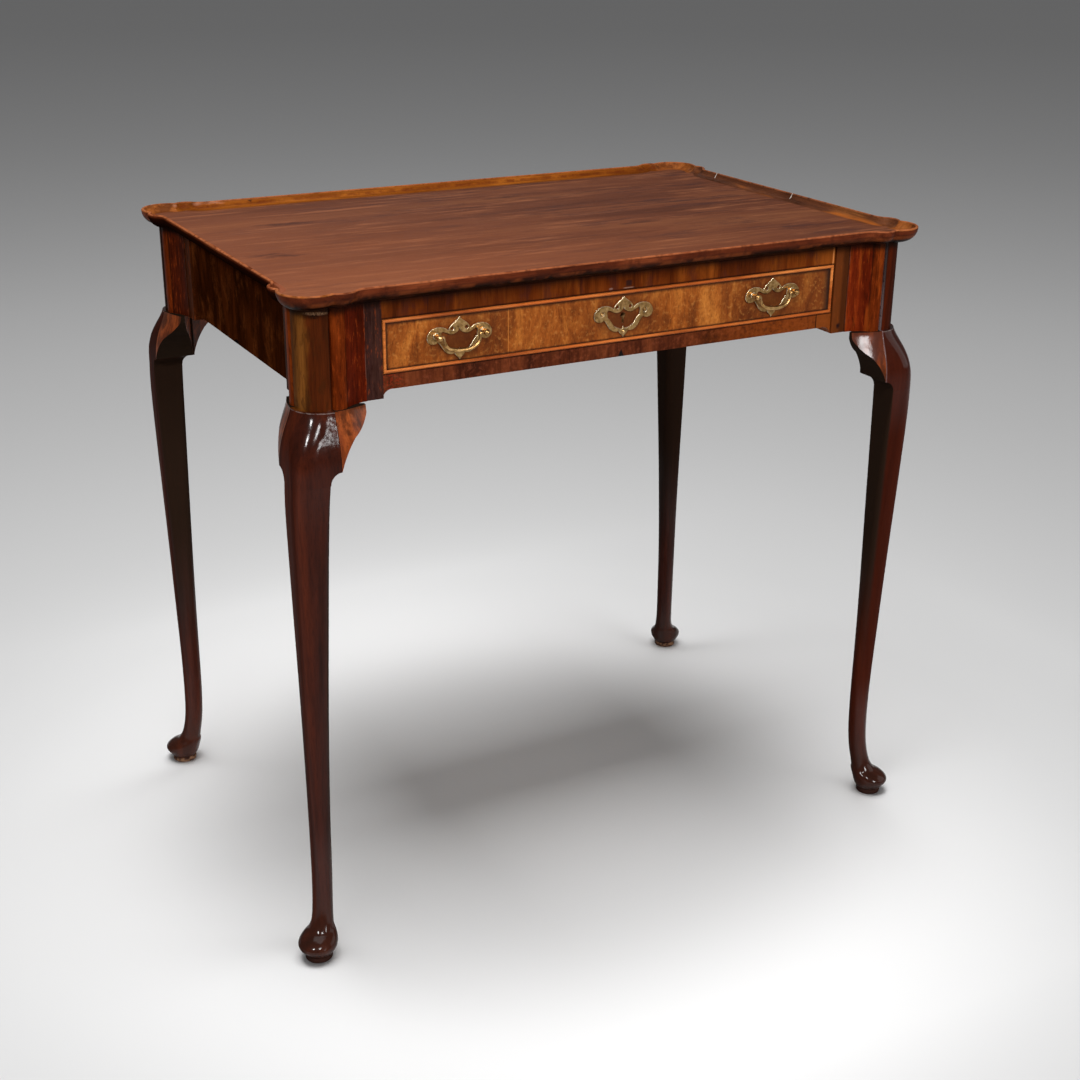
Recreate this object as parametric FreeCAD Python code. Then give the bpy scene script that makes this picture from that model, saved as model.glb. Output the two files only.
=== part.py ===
import FreeCAD, Part
import math
import os

from FreeCAD import Vector

# Tray top tea table with one frieze drawer. Millimetres, +Z up, front towards -Y.
# The origin is on the floor, below the middle of the tray.

# ---------------------------------------------------------------- driving sizes
table_height = 700.0          # floor to the top of the rim
tray_length = 708.0           # along X, over the straight runs of the rim
tray_width = 473.0            # along Y, over the straight runs of the rim

# tray board and rim
board_thickness = 8.0
rim_rise = 8.0                # height of the rim above the board
rim_width = 14.5              # rim, from its outer edge in to the board
rim_tuck = 13.0               # how far the underside tucks in below the lip
cove_foot = 13.0              # where the inside hollow of the rim meets the board
lip_width = 3.4
lip_round = 0.6               # smallest radius, round the points of the outline
lip_drop = 1.6                # height of the rounded lip
lip_shoulder = 1.2            # its inner edge, above its outer one
lobe_stand_out = 10.0         # how far the shaped corners stand out
corner_lobe_radius = 30.0
corner_lobe_inset = 20.0      # from the straight edges to the centre of the lobe
small_lobe_radius = 17.0
small_lobe_inset = 44.5       # from the next straight edge to its centre
hollow_radius = 17.0

# corner posts, seen in plan
corner_inset = 31.0           # from the straight edges to the centre of the post
post_radius = 25.0
post_flat = 3.0               # from the post's centre to the seam with a cheek
post_core = 24.0              # hidden square part of the post
seam_width = 1.8
seam_depth = 4.3

# frieze
frieze_height = 96.5
frieze_out = 8.5              # frieze face, outside the post's centre
frieze_thickness = 20.0
apron_rise = 7.5              # straight lower edge above the foot of the post
bracket_length = 12.0
top_rail_height = 21.0
top_rail_depth = 24.0
bottom_rail_height = 22.5
bottom_rail_depth = 40.0
tenon_length = 11.0
tenon_margin = 3.0            # above and below a rail's tenon
tenon_thickness = 6.0
tenon_back = 9.0              # from the post's centre to the tenon's inner face

# cheeks, the shaped blocks on both sides of each post
cheek_length = 59.5           # from the post's centre to the end of the flat stile
cheek_back = 1.0              # their back, inside the post's centre
stile_out = 11.0
stile_length = 17.0
bead_out = 25.0
bead_length = 15.0
bead_nose = 21.0
bead_crown = 0.6              # middle of the bead, above its shoulders
bead_shoulder = 2.1           # from the bead's ends in to its shoulders
bead_drop = 2.6               # where the hollow starts, below the bead
hollow_shift = 1.5            # deepest place of the hollow, towards the bead
hollow_lift = 4.2             # and how far it lies above the stile
quirk = 0.8                   # small step between hollow and stile

# knees and ears
knee_height = 66.5
knee_out = 28.8               # top of the knee, outside the post's centre
knee_swell = 13.6
knee_cut = 11.7               # radius of the quarter hollow below the knee
knee_edge_round = 0.6         # its three inner upright edges
ear_length = 34.4
ear_height = 55.0
ear_fall = 9.4                # how far the ear's end lies back from its root
ear_belly = 3.0
ear_edge = 4.0                # thickness of the ear's end

# legs and feet
foot_out_x = 39.0             # centre of the foot, outside the post's centre
foot_out_y = 28.5
disc_radius = 14.2
disc_height = 6.2
disc_round = 1.2              # edge round of the disc
disc_neck = 0.9               # how far it draws in below the pad

# drawer
drawer_side_gap = 1.1
drawer_top_gap = 0.4
drawer_floor_gap = 0.4
drawer_front_set = 0.5        # how far the front lies back from the rails
drawer_front_thickness = 20.0
drawer_back_gap = 17.5        # left free behind the drawer
drawer_side_inset = 1.4
drawer_side_thickness = 9.0
drawer_side_drop = 2.6        # top edge of the sides, below that of the front
drawer_bottom_thickness = 6.0
drawer_bottom_lift = 4.9
groove_depth = 4.0
tail_count = 3
tail_length = 10.5
tail_width = 12.5
tail_slope = 1.7              # how much a tail narrows on each side
bead_thickness = 3.5
bead_depth = 11.5
bead_proud = 2.0

# carcass pieces that carry the drawer
runner_width = 58.0
runner_thickness = 12.0
runner_clear = 0.4
guide_width = 12.0
guide_height = 20.0
guide_gap = 1.0
kicker_width = 22.0
stop_width = 30.0
stop_height = 4.0
stop_gap = 0.3
stop_depth = 14.0
stop_inset = 62.4             # from the drawer's end to the middle of a stop
glue_block_length = 36.0
glue_block_side = 13.0
glue_block_inset = 106.0      # from the end of the inner face to the outermost block
screw_shank_radius = 2.0
screw_head_radius = 4.0
screw_head_height = 3.0
screw_bite = 6.0              # how far a screw reaches into the board
screw_inset_x = 119.0         # from the end of the top rail to its screw
screw_inset_y = 75.0          # from a post's centre to the kicker's screw

# brass
plate_thickness = 1.6
plate_margin = 1.35           # mean gap between a plate and the beads above and below
handle_inset = 79.6           # from the drawer's end to the middle of a handle
post_hole_radius = 2.0
handle_flange_radius = 3.5
handle_flange_height = 1.2
handle_stalk_radius = 2.6
handle_ball_radius = 3.3
handle_reach = 8.3            # plate face to the centre of the ball
pivot_reach = 6.2             # plate face to the bail's axis
nut_width = 9.0
nut_thickness = 3.0
bail_side_gap = 0.7           # between a post's ball and the grip
bail_pin_radius = 1.1
bail_pin_bite = 0.5           # how far a pin starts inside the grip
bail_pin_clear = 0.1
pin_head_radius = 1.8
pin_shank_radius = 0.7
pin_length = 9.0
pin_recess_radius = 2.4
pin_recess_depth = 0.7

# lock
lock_width = 56.0
lock_depth = 9.5
lock_wall = 1.5
bolt_head_width = 24.0
bolt_body_width = 40.0
bolt_top_gap = 4.5            # above the thrown bolt's shoulders
bolt_drop = 4.8               # the bolt's foot, below the middle of the keyhole
bolt_foot = 6.0               # the case, below the bolt
bolt_thickness = 4.4
bolt_travel = 8.0
bolt_clear = 0.3
key_lift = 0.9                # the keyhole's round above the plate's centre
keyhole_radius = 3.0
keyhole_slot = 2.6
keyhole_drop = 8.0
key_pin_radius = 1.4
key_pin_slot = 10.0
key_pin_room = 1.0            # between the key's pin and the bolt above it

# ---------------------------------------------------------------- derived places
half_length = tray_length / 2
half_width = tray_width / 2
board_top = table_height - rim_rise
board_bottom = board_top - board_thickness
post_bottom = board_bottom - frieze_height
post_x = half_length - corner_inset
post_y = half_width - corner_inset
apron_bottom = post_bottom + apron_rise
knee_bottom = post_bottom - knee_height
foot_x = post_x + foot_out_x
foot_y = post_y + foot_out_y

front_face = post_y + frieze_out              # distance of the frieze face from the centre
side_face = post_x + frieze_out
opening_half = post_x - cheek_length
opening_bottom = post_bottom + bottom_rail_height
opening_top = board_bottom - top_rail_height

drawer_half = opening_half - drawer_side_gap
drawer_low = opening_bottom + drawer_floor_gap
drawer_high = opening_top - drawer_top_gap
drawer_face = -(front_face - drawer_front_set)
drawer_front_back = drawer_face + drawer_front_thickness
drawer_end = front_face - frieze_thickness - drawer_back_gap
side_outer = drawer_half - drawer_side_inset
side_inner = side_outer - drawer_side_thickness
side_top = drawer_high - drawer_side_drop
bottom_low = drawer_low + drawer_bottom_lift
bottom_high = bottom_low + drawer_bottom_thickness
bead_inner_face = drawer_face - bead_proud + bead_depth
plate_z = (drawer_low + drawer_high) / 2
handle_x = drawer_half - handle_inset
plate_face = drawer_face - plate_thickness
pivot_y = plate_face - pivot_reach

# How the knee swells below the foot of the post: share of its height, share of
# the swell, radius of its outer corner.
knee_stations = [
    (0.0, 0.0, 30.0),
    (0.17, 0.24, 27.0),
    (0.33, 0.55, 24.0),
    (0.51, 0.81, 21.0),
    (0.72, 0.97, 19.0),
    (0.9, 1.0, 18.0),
    (1.0, 1.0, 17.5),
]

# Lower edge of an ear, from its end to the knee: shares of its length and height.
ear_curve = [(1.0, 0.13), (0.82, 0.30), (0.5, 0.47), (0.2, 0.71), (0.0, 1.0)]

# The leg below the knee: share of the height from the floor to the knee, how far
# its centre lies inside the foot's centre in X and in Y, half its width, radius of
# its outer corner and of the three others.
leg_stations = [
    (1.0, 13.4, 3.2, 16.8, 17.4, 1.0),
    (0.97, 12.8, 4.3, 16.9, 16.6, 2.6),
    (0.89, 12.5, 6.5, 16.6, 15.2, 6.0),
    (0.75, 12.6, 9.0, 15.2, 13.6, 8.0),
    (0.58, 12.8, 11.6, 13.4, 12.3, 9.8),
    (0.40, 13.0, 14.0, 11.9, 11.6, 11.2),
    (0.28, 13.2, 15.4, 11.0, 10.8, 10.8),
    (0.18, 12.9, 15.2, 10.6, 10.4, 10.4),
]

# The ankle and the round pad: height above the floor, how far the centre lies
# inside the foot's centre in X and in Y, radius.
foot_stations = [
    (72.0, 12.2, 14.2, 10.5),
    (54.0, 10.8, 12.0, 10.6),
    (46.0, 9.8, 10.3, 10.8),
    (40.0, 8.8, 8.8, 11.2),
    (36.0, 7.9, 7.7, 11.8),
    (33.0, 6.9, 6.7, 12.7),
    (30.4, 6.3, 6.2, 13.9),
    (28.0, 4.6, 4.6, 15.9),
    (25.6, 2.7, 2.7, 17.9),
    (22.5, 0.8, 0.8, 19.6),
    (17.5, -0.9, -0.9, 20.4),
    (12.5, -0.7, -0.7, 18.6),
    (8.8, -0.3, -0.3, 16.2),
    (disc_height, 0.0, 0.0, disc_radius - 0.3),
]
section_flat = 0.15            # half the straight left between the round corners
spare = 5.0                    # how far a cutting shape runs past the piece it cuts

corners = {
    "front_left": (-1, -1),
    "front_right": (1, -1),
    "back_left": (-1, 1),
    "back_right": (1, 1),
}
nodes = {}


# ---------------------------------------------------------------- helpers
def box(x, y, z):
    """Box between the given (low, high) pairs."""
    size = [high - low for low, high in (x, y, z)]
    return Part.makeBox(size[0], size[1], size[2], Vector(x[0], y[0], z[0]))


def line(a, b):
    return Part.LineSegment(Vector(*a), Vector(*b)).toShape()


def arc(a, middle, b):
    return Part.Arc(Vector(*a), Vector(*middle), Vector(*b)).toShape()


def polygon(points):
    return Part.Face(Part.makePolygon([Vector(*p) for p in points] + [Vector(*points[0])]))


def fuse(shapes):
    solid = shapes[0].fuse(shapes[1:]) if len(shapes) > 1 else shapes[0]
    return solid.removeSplitter()


def mirror_x(shape):
    return shape.mirror(Vector(0, 0, 0), Vector(1, 0, 0))


def mirror_y(shape):
    return shape.mirror(Vector(0, 0, 0), Vector(0, 1, 0))


def swap_faces(shape):
    """Turns a piece of the post's Y face, drawn round the post's centre, into that of its X face."""
    return shape.mirror(Vector(0, 0, 0), Vector(1, -1, 0))


def at_corner(shape, signs):
    """Carries a shape drawn round the back right post's centre to one of the four corners."""
    placed = shape.copy()
    placed.translate(Vector(post_x, post_y, 0))
    if signs[0] < 0:
        placed = mirror_x(placed)
    if signs[1] < 0:
        placed = mirror_y(placed)
    return placed


# ---------------------------------------------------------------- tray outline
# The outline runs round the tray as arcs. A moulding set in by n keeps the same
# centres: outward bulges lose n of their radius, hollows and points gain it.
lobe_centre = Vector(half_length - corner_lobe_inset, half_width - corner_lobe_inset, 0)
small_centre = Vector(
    half_length - small_lobe_inset,
    half_width + lobe_stand_out - small_lobe_radius,
    0,
)
hollow_rise = hollow_radius + small_lobe_radius - lobe_stand_out
hollow_run = math.sqrt((hollow_radius + small_lobe_radius) ** 2 - hollow_rise ** 2)
hollow_centre = Vector(small_centre.x - hollow_run, half_width + hollow_radius, 0)


def angle_of(vector):
    return math.degrees(math.atan2(vector.y, vector.x))


def find_point():
    """Where the small lobe and the corner lobe cross, on the outside."""
    between = lobe_centre - small_centre
    gap = between.Length
    along = (gap ** 2 + small_lobe_radius ** 2 - corner_lobe_radius ** 2) / (2 * gap)
    aside = math.sqrt(small_lobe_radius ** 2 - along ** 2)
    axis = between / gap
    return small_centre + axis * along + Vector(-axis.y, axis.x, 0) * aside


outline_point = find_point()
hollow_end_angle = angle_of(small_centre - hollow_centre)
small_start_angle = angle_of(hollow_centre - small_centre)
small_end_angle = angle_of(outline_point - small_centre)
point_start_angle = small_end_angle - 180
point_end_angle = angle_of(lobe_centre - outline_point)
point_middle_angle = (point_start_angle + point_end_angle) / 2
lobe_start_angle = point_end_angle + 180

# One side of the corner, from the straight run to the point: centre, radius at
# the outer edge, how the radius changes with n, first angle and last angle.
corner_runs = [
    (hollow_centre, hollow_radius, 1, -90.0, hollow_end_angle),
    (small_centre, small_lobe_radius, -1, small_start_angle, small_end_angle),
    (outline_point, 0.0, 1, point_start_angle, point_middle_angle),
]


def across_corner(vector):
    """Reflects a plan point from one side of the tray's corner to the other."""
    shift = half_length - half_width
    return Vector(vector.y + shift, vector.x - shift, 0)


def run_edge(run, n):
    """The plan curve of one run, set in by n."""
    centre, radius, growth, first, last = run
    reach = radius + growth * n
    places = []
    for angle in (first, (first + last) / 2, last):
        turn = math.radians(angle)
        places.append(centre + Vector(math.cos(turn), math.sin(turn), 0) * reach)
    return places


def board_outline(n):
    """Closed plan outline of the whole tray, set in by n."""
    quarter = [run_edge(run, n) for run in corner_runs]
    second_half_point = (outline_point, 0.0, 1, point_middle_angle, point_end_angle)
    quarter.append(run_edge(second_half_point, n))
    lobe_first = run_edge((lobe_centre, corner_lobe_radius, -1, lobe_start_angle, 45.0), n)
    first_half = quarter + [lobe_first]
    second_half = []
    for places in reversed(first_half):
        second_half.append([across_corner(p) for p in reversed(places)])
    arcs = first_half + second_half
    edges = []
    for sign_x, sign_y in corners.values():
        for places in arcs:
            moved = [Vector(p.x * sign_x, p.y * sign_y, 0) for p in places]
            edges.append(Part.Arc(*moved).toShape())
    straight_x = hollow_centre.x
    straight_y = across_corner(hollow_centre).y
    for sign in (-1, 1):
        y = sign * (half_width - n)
        x = sign * (half_length - n)
        edges.append(line((-straight_x, y, 0), (straight_x, y, 0)))
        edges.append(line((x, -straight_y, 0), (x, straight_y, 0)))
    return Part.Wire(Part.__sortEdges__(edges))


def rim_profile(radius, growth):
    """The rim's section in the XZ plane. A point set in by n lies at X = radius + growth * n."""
    def at(n, z):
        return (radius + growth * n, 0, z)

    lip_low = table_height - lip_drop
    lip_middle = (lip_round + lip_width) / 2
    lip_inner = at(lip_width, lip_low + lip_shoulder)
    cove_dip = 0.29
    cove_middle = (
        lip_width + (cove_foot - lip_width) * cove_dip,
        board_top + rim_rise * cove_dip,
    )
    swell = 0.27
    outer_middle = (
        lip_round + (rim_tuck - lip_round) * swell,
        board_bottom + (lip_low - board_bottom) * (swell + 0.1),
    )
    edges = [
        line(at(rim_width, board_top), at(cove_foot, board_top)),
        arc(at(cove_foot, board_top), at(*cove_middle), lip_inner),
        arc(lip_inner, at(lip_middle, table_height), at(lip_round, lip_low)),
        arc(at(lip_round, lip_low), at(*outer_middle), at(rim_tuck, board_bottom)),
        line(at(rim_tuck, board_bottom), at(rim_width, board_bottom)),
        line(at(rim_width, board_bottom), at(rim_width, board_top)),
    ]
    return Part.Face(Part.Wire(edges))


def turned_run(run):
    """A curved stretch of rim: the section turned about the run's centre."""
    centre, radius, growth, first, last = run
    low = min(first, last)
    section = rim_profile(radius, growth)
    solid = section.revolve(Vector(0, 0, 0), Vector(0, 0, 1), abs(last - first))
    solid.rotate(Vector(0, 0, 0), Vector(0, 0, 1), low)
    solid.translate(centre)
    return solid


def straight_rim(edge_distance, half_run):
    """A straight stretch of rim along X, on the +Y side."""
    section = rim_profile(edge_distance, -1)
    section.rotate(Vector(0, 0, 0), Vector(0, 0, 1), 90)
    section.translate(Vector(-half_run, 0, 0))
    return section.extrude(Vector(2 * half_run, 0, 0))


def swap_tray_sides(shape):
    """Reflects rim ends from the +Y side of the corner to its +X side."""
    return shape.mirror(Vector(half_length - half_width, 0, 0), Vector(1, -1, 0))


def make_tray():
    board = Part.Face(board_outline(rim_width))
    board.translate(Vector(0, 0, board_bottom))
    nodes["tray_board"] = board.extrude(Vector(0, 0, board_thickness))

    end = fuse([turned_run(run) for run in corner_runs])
    long_side = fuse([straight_rim(half_width, hollow_centre.x), end, mirror_x(end)])
    nodes["rim_back"] = long_side
    nodes["rim_front"] = mirror_y(long_side)

    side_end = swap_tray_sides(end)
    side_run = straight_rim(half_length, across_corner(hollow_centre).y)
    side_run.rotate(Vector(0, 0, 0), Vector(0, 0, 1), -90)
    short_side = fuse([side_run, side_end, mirror_y(side_end)])
    nodes["rim_right"] = short_side
    nodes["rim_left"] = mirror_x(short_side)

    half_point = turned_run((outline_point, 0.0, 1, point_middle_angle, point_end_angle))
    last_angle = 90.0 - lobe_start_angle
    lobe = turned_run((lobe_centre, corner_lobe_radius, -1, last_angle, lobe_start_angle))
    corner = fuse([half_point, lobe, swap_tray_sides(half_point)])
    for name, signs in corners.items():
        piece = corner.copy()
        if signs[0] < 0:
            piece = mirror_x(piece)
        if signs[1] < 0:
            piece = mirror_y(piece)
        nodes["rim_corner_" + name] = piece


# ---------------------------------------------------------------- posts, knees, legs
def rounded_section(low, high, z, outer_radius, other_radius):
    """Square in plan with round corners, the outer one (+X, +Y) with its own radius."""
    x0, y0 = low
    x1, y1 = high
    corners_here = [
        (x1, y1, outer_radius, 0),
        (x0, y1, other_radius, 90),
        (x0, y0, other_radius, 180),
        (x1, y0, other_radius, 270),
    ]
    arcs = []
    for x, y, radius, start in corners_here:
        centre_x = x - radius if start in (0, 270) else x + radius
        centre_y = y - radius if start in (0, 90) else y + radius
        places = []
        for turn in (start, start + 45, start + 90):
            a = math.radians(turn)
            places.append((centre_x + radius * math.cos(a), centre_y + radius * math.sin(a), z))
        arcs.append(places)
    edges = []
    for index, places in enumerate(arcs):
        following = arcs[(index + 1) % 4]
        edges.append(arc(*places))
        edges.append(line(places[2], following[0]))
    return Part.Wire(edges)


def make_post():
    """The post between knee and board, round its own centre."""
    lobe = Part.makeCylinder(post_radius, frieze_height, Vector(0, 0, post_bottom))
    keep = box((-post_flat, post_radius), (-post_flat, post_radius), (post_bottom, board_bottom))
    lobe = lobe.common(keep)
    core = box(
        (-post_core, -cheek_back),
        (-post_core, -cheek_back),
        (post_bottom, board_bottom),
    )
    post = lobe.fuse(core)
    edge_out = math.sqrt(post_radius ** 2 - post_flat ** 2)
    groove = polygon([
        (-post_flat, edge_out - seam_depth, post_bottom),
        (-post_flat, post_radius + 1, post_bottom),
        (-post_flat + seam_width, post_radius + 1, post_bottom),
    ]).extrude(Vector(0, 0, frieze_height))
    return post.cut([groove, swap_faces(groove)]).removeSplitter()


def knee_reach(share):
    return knee_out + knee_swell * share


def make_knee():
    """The square block below the post, with its swelling outer sides and hollow-cut foot."""
    sections = []
    for down, swell, radius in knee_stations:
        reach = knee_reach(swell)
        z = post_bottom - down * knee_height
        low = (-post_flat, -post_flat)
        sections.append(rounded_section(low, (reach, reach), z, radius, knee_edge_round))
    knee = Part.makeLoft(sections, True, False)
    long_cut = 2 * (knee_out + knee_swell)
    hollow = Part.makeCylinder(
        knee_cut,
        long_cut,
        Vector(-post_flat, -post_flat - spare, knee_bottom),
        Vector(0, 1, 0),
    )
    return knee.cut([hollow, swap_faces(hollow)])


def make_lower_leg():
    """From the knee down into the foot."""
    sections = []
    for share, inset_x, inset_y, half, outer_radius, other_radius in leg_stations:
        x = foot_out_x - inset_x
        y = foot_out_y - inset_y
        z = knee_bottom * share
        low = (x - half, y - half)
        high = (x + half, y + half)
        sections.append(rounded_section(low, high, z, outer_radius, other_radius))
    for z, inset_x, inset_y, radius in foot_stations:
        x = foot_out_x - inset_x
        y = foot_out_y - inset_y
        low = (x - radius, y - radius)
        high = (x + radius, y + radius)
        corner = radius - section_flat
        sections.append(rounded_section(low, high, z, corner, corner))
    return Part.makeLoft(sections, True, False)


def make_disc():
    """The small disc the pad stands on."""
    sole = disc_radius - disc_round
    neck = disc_radius - disc_neck
    bulge = disc_height - 2 * disc_round
    cut = 1 - math.sqrt(0.5)
    sole_middle = (disc_radius - cut * disc_round, 0, cut * disc_round)
    neck_middle = (disc_radius - cut * disc_neck, 0, (bulge + disc_height) / 2)
    profile = Part.Wire([
        line((0, 0, 0), (sole, 0, 0)),
        arc((sole, 0, 0), sole_middle, (disc_radius, 0, disc_round)),
        line((disc_radius, 0, disc_round), (disc_radius, 0, bulge)),
        arc((disc_radius, 0, bulge), neck_middle, (neck, 0, disc_height)),
        line((neck, 0, disc_height), (0, 0, disc_height)),
        line((0, 0, disc_height), (0, 0, 0)),
    ])
    disc = Part.Face(profile).revolve(Vector(0, 0, 0), Vector(0, 0, 1), 360)
    disc.translate(Vector(foot_out_x, foot_out_y, 0))
    return disc


def make_legs(mortises):
    leg = make_post().fuse([make_knee(), make_lower_leg(), make_disc()]).removeSplitter()
    for name, signs in corners.items():
        nodes["leg_" + name] = at_corner(leg, signs).cut(mortises)


def make_cheeks():
    """Stile, hollow and bead beside each post."""
    z = post_bottom
    stile_end = -(cheek_length - stile_length)
    bead_end = -(post_flat + bead_length)
    profile = Part.Face(Part.Wire([
        line((-post_flat, -cheek_back, z), (-post_flat, bead_nose, z)),
        arc(
            (-post_flat, bead_nose, z),
            (-post_flat - bead_shoulder, bead_out - bead_crown, z),
            (-post_flat - bead_length / 2, bead_out + bead_crown, z),
        ),
        arc(
            (-post_flat - bead_length / 2, bead_out + bead_crown, z),
            (bead_end + bead_shoulder, bead_out - bead_crown, z),
            (bead_end, bead_out - bead_drop, z),
        ),
        arc(
            (bead_end, bead_out - bead_drop, z),
            ((bead_end + stile_end) / 2 + hollow_shift, stile_out + hollow_lift, z),
            (stile_end, stile_out + quirk, z),
        ),
        line((stile_end, stile_out + quirk, z), (stile_end, stile_out, z)),
        line((stile_end, stile_out, z), (-cheek_length, stile_out, z)),
        line((-cheek_length, stile_out, z), (-cheek_length, -cheek_back, z)),
        line((-cheek_length, -cheek_back, z), (-post_flat, -cheek_back, z)),
    ]))
    cheek = profile.extrude(Vector(0, 0, frieze_height))
    for name, signs in corners.items():
        end_name = name.split("_")[0]
        nodes["cheek_" + name + "_" + end_name] = at_corner(cheek, signs)
        nodes["cheek_" + name + "_side"] = at_corner(swap_faces(cheek), signs)


def make_ears():
    """The shaped brackets glued to both inner sides of each knee."""
    root = -post_flat
    tip = root - ear_length
    tip_back = knee_out - ear_fall - ear_edge
    sections = []
    for down, swell, _ in knee_stations:
        z = post_bottom - down * knee_height
        reach = knee_reach(swell)
        middle = root - ear_length / 2
        sections.append(Part.Wire([
            line((root, -cheek_back, z), (root, reach, z)),
            arc((root, reach, z), (middle, reach - ear_belly, z), (tip, reach - ear_fall, z)),
            line((tip, reach - ear_fall, z), (tip, tip_back, z)),
            line((tip, tip_back, z), (root, -cheek_back, z)),
        ]))
    block = Part.makeLoft(sections, True, False)

    def at(inwards, down):
        return (root - inwards, -cheek_back - spare, post_bottom - down)

    curve = [at(ear_length * inwards, ear_height * down) for inwards, down in ear_curve]
    outline = Part.Face(Part.Wire([
        line(at(0, 0), at(ear_length, 0)),
        line(at(ear_length, 0), curve[0]),
        arc(curve[0], curve[1], curve[2]),
        arc(curve[2], curve[3], curve[4]),
        line(curve[4], at(0, 0)),
    ]))
    depth = cheek_back + knee_out + knee_swell + 2 * spare
    ear = block.common(outline.extrude(Vector(0, depth, 0)))
    for name, signs in corners.items():
        end_name = name.split("_")[0]
        nodes["ear_" + name + "_" + end_name] = at_corner(ear, signs)
        nodes["ear_" + name + "_side"] = at_corner(swap_faces(ear), signs)


# ---------------------------------------------------------------- frieze and rails
def apron_outline(half_run, top, y):
    """Front view of a frieze board between two cheeks, with a bracket at each lower end."""
    start = half_run - bracket_length
    bend = half_run - bracket_length * 0.3
    bend_z = post_bottom + apron_rise * 0.74
    left = [
        line((-half_run, y, top), (-half_run, y, post_bottom)),
        arc((-half_run, y, post_bottom), (-bend, y, bend_z), (-start, y, apron_bottom)),
    ]
    right = [
        arc((start, y, apron_bottom), (bend, y, bend_z), (half_run, y, post_bottom)),
        line((half_run, y, post_bottom), (half_run, y, top)),
    ]
    joined = left + [line((-start, y, apron_bottom), (start, y, apron_bottom))] + right
    joined.append(line((half_run, y, top), (-half_run, y, top)))
    return Part.Face(Part.Wire(joined))


def rail_ends(half_post, plane, depth, z):
    """Both ends of a rail: the parts that run behind the cheeks, and the tenons."""
    shoulder = half_post - cheek_length
    reach = half_post - post_core
    behind_y = (plane - depth, plane - frieze_out - cheek_back)
    behind = box((shoulder, reach), behind_y, z)
    tenon_y = plane - frieze_out - tenon_back
    tenon = box(
        (reach, reach + tenon_length),
        (tenon_y, tenon_y + tenon_thickness),
        (z[0] + tenon_margin, z[1] - tenon_margin),
    )
    return [behind, mirror_x(behind)], [tenon, mirror_x(tenon)]


def make_rail(half_post, plane, depth, face, z):
    """A rail or frieze board along X on the +Y side, and its tenons."""
    board = face.extrude(Vector(0, -depth, 0))
    behind, tenons = rail_ends(half_post, plane, depth, z)
    return fuse([board] + behind + tenons), tenons


def turned_to_side(shape):
    """Turns a piece from the +Y side to the +X side."""
    turned = shape.copy()
    turned.rotate(Vector(0, 0, 0), Vector(0, 0, 1), -90)
    return turned


def make_frieze():
    """Returns the tenons, which the legs' mortises take their shape from."""
    whole = (post_bottom, board_bottom)
    back_outline = apron_outline(opening_half, board_bottom, front_face)
    back, back_tenons = make_rail(post_x, front_face, frieze_thickness, back_outline, whole)
    nodes["frieze_back"] = back
    side_outline = apron_outline(post_y - cheek_length, board_bottom, side_face)
    side, side_tenons = make_rail(post_y, side_face, frieze_thickness, side_outline, whole)
    nodes["frieze_right"] = turned_to_side(side)
    nodes["frieze_left"] = mirror_x(nodes["frieze_right"])

    top_z = (opening_top, board_bottom)
    top_outline = polygon([
        (-opening_half, front_face, opening_top),
        (opening_half, front_face, opening_top),
        (opening_half, front_face, board_bottom),
        (-opening_half, front_face, board_bottom),
    ])
    top, top_tenons = make_rail(post_x, front_face, top_rail_depth, top_outline, top_z)
    nodes["rail_top_front"] = mirror_y(top).cut(bolt_mortise())

    low_z = (post_bottom, opening_bottom)
    low_outline = apron_outline(opening_half, opening_bottom, front_face)
    low, low_tenons = make_rail(post_x, front_face, bottom_rail_depth, low_outline, low_z)
    nodes["rail_bottom_front"] = mirror_y(low)

    side_tenons = [turned_to_side(tenon) for tenon in side_tenons]
    side_tenons += [mirror_x(tenon) for tenon in side_tenons]
    return back_tenons + side_tenons + [mirror_y(tenon) for tenon in top_tenons + low_tenons]


def make_drawer_supports():
    rail_back = -(front_face - bottom_rail_depth)
    top_rail_back = -(front_face - top_rail_depth)
    frieze_inner = front_face - frieze_thickness
    runner_top = drawer_low - runner_clear
    runner_outer = post_x - post_core - 1
    runner_inner = runner_outer - runner_width
    guide_inner = side_outer + guide_gap
    runner = box(
        (runner_inner, runner_outer),
        (rail_back, frieze_inner),
        (runner_top - runner_thickness, runner_top),
    )
    guide = box(
        (guide_inner, guide_inner + guide_width),
        (rail_back, frieze_inner),
        (runner_top, runner_top + guide_height),
    )
    runner = fuse([runner, guide])
    nodes["drawer_runner_right"] = runner
    nodes["drawer_runner_left"] = mirror_x(runner)

    kicker = box(
        (side_outer - kicker_width, side_outer),
        (top_rail_back, frieze_inner),
        (opening_top, board_bottom),
    )
    nodes["kicker_right"] = kicker
    nodes["kicker_left"] = mirror_x(kicker)

    stop_y = drawer_front_back + stop_gap
    stop_x = drawer_half - stop_inset
    stop = box(
        (stop_x - stop_width / 2, stop_x + stop_width / 2),
        (stop_y, stop_y + stop_depth),
        (opening_bottom, opening_bottom + stop_height),
    )
    nodes["drawer_stops"] = Part.Compound([stop, mirror_x(stop)])


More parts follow.
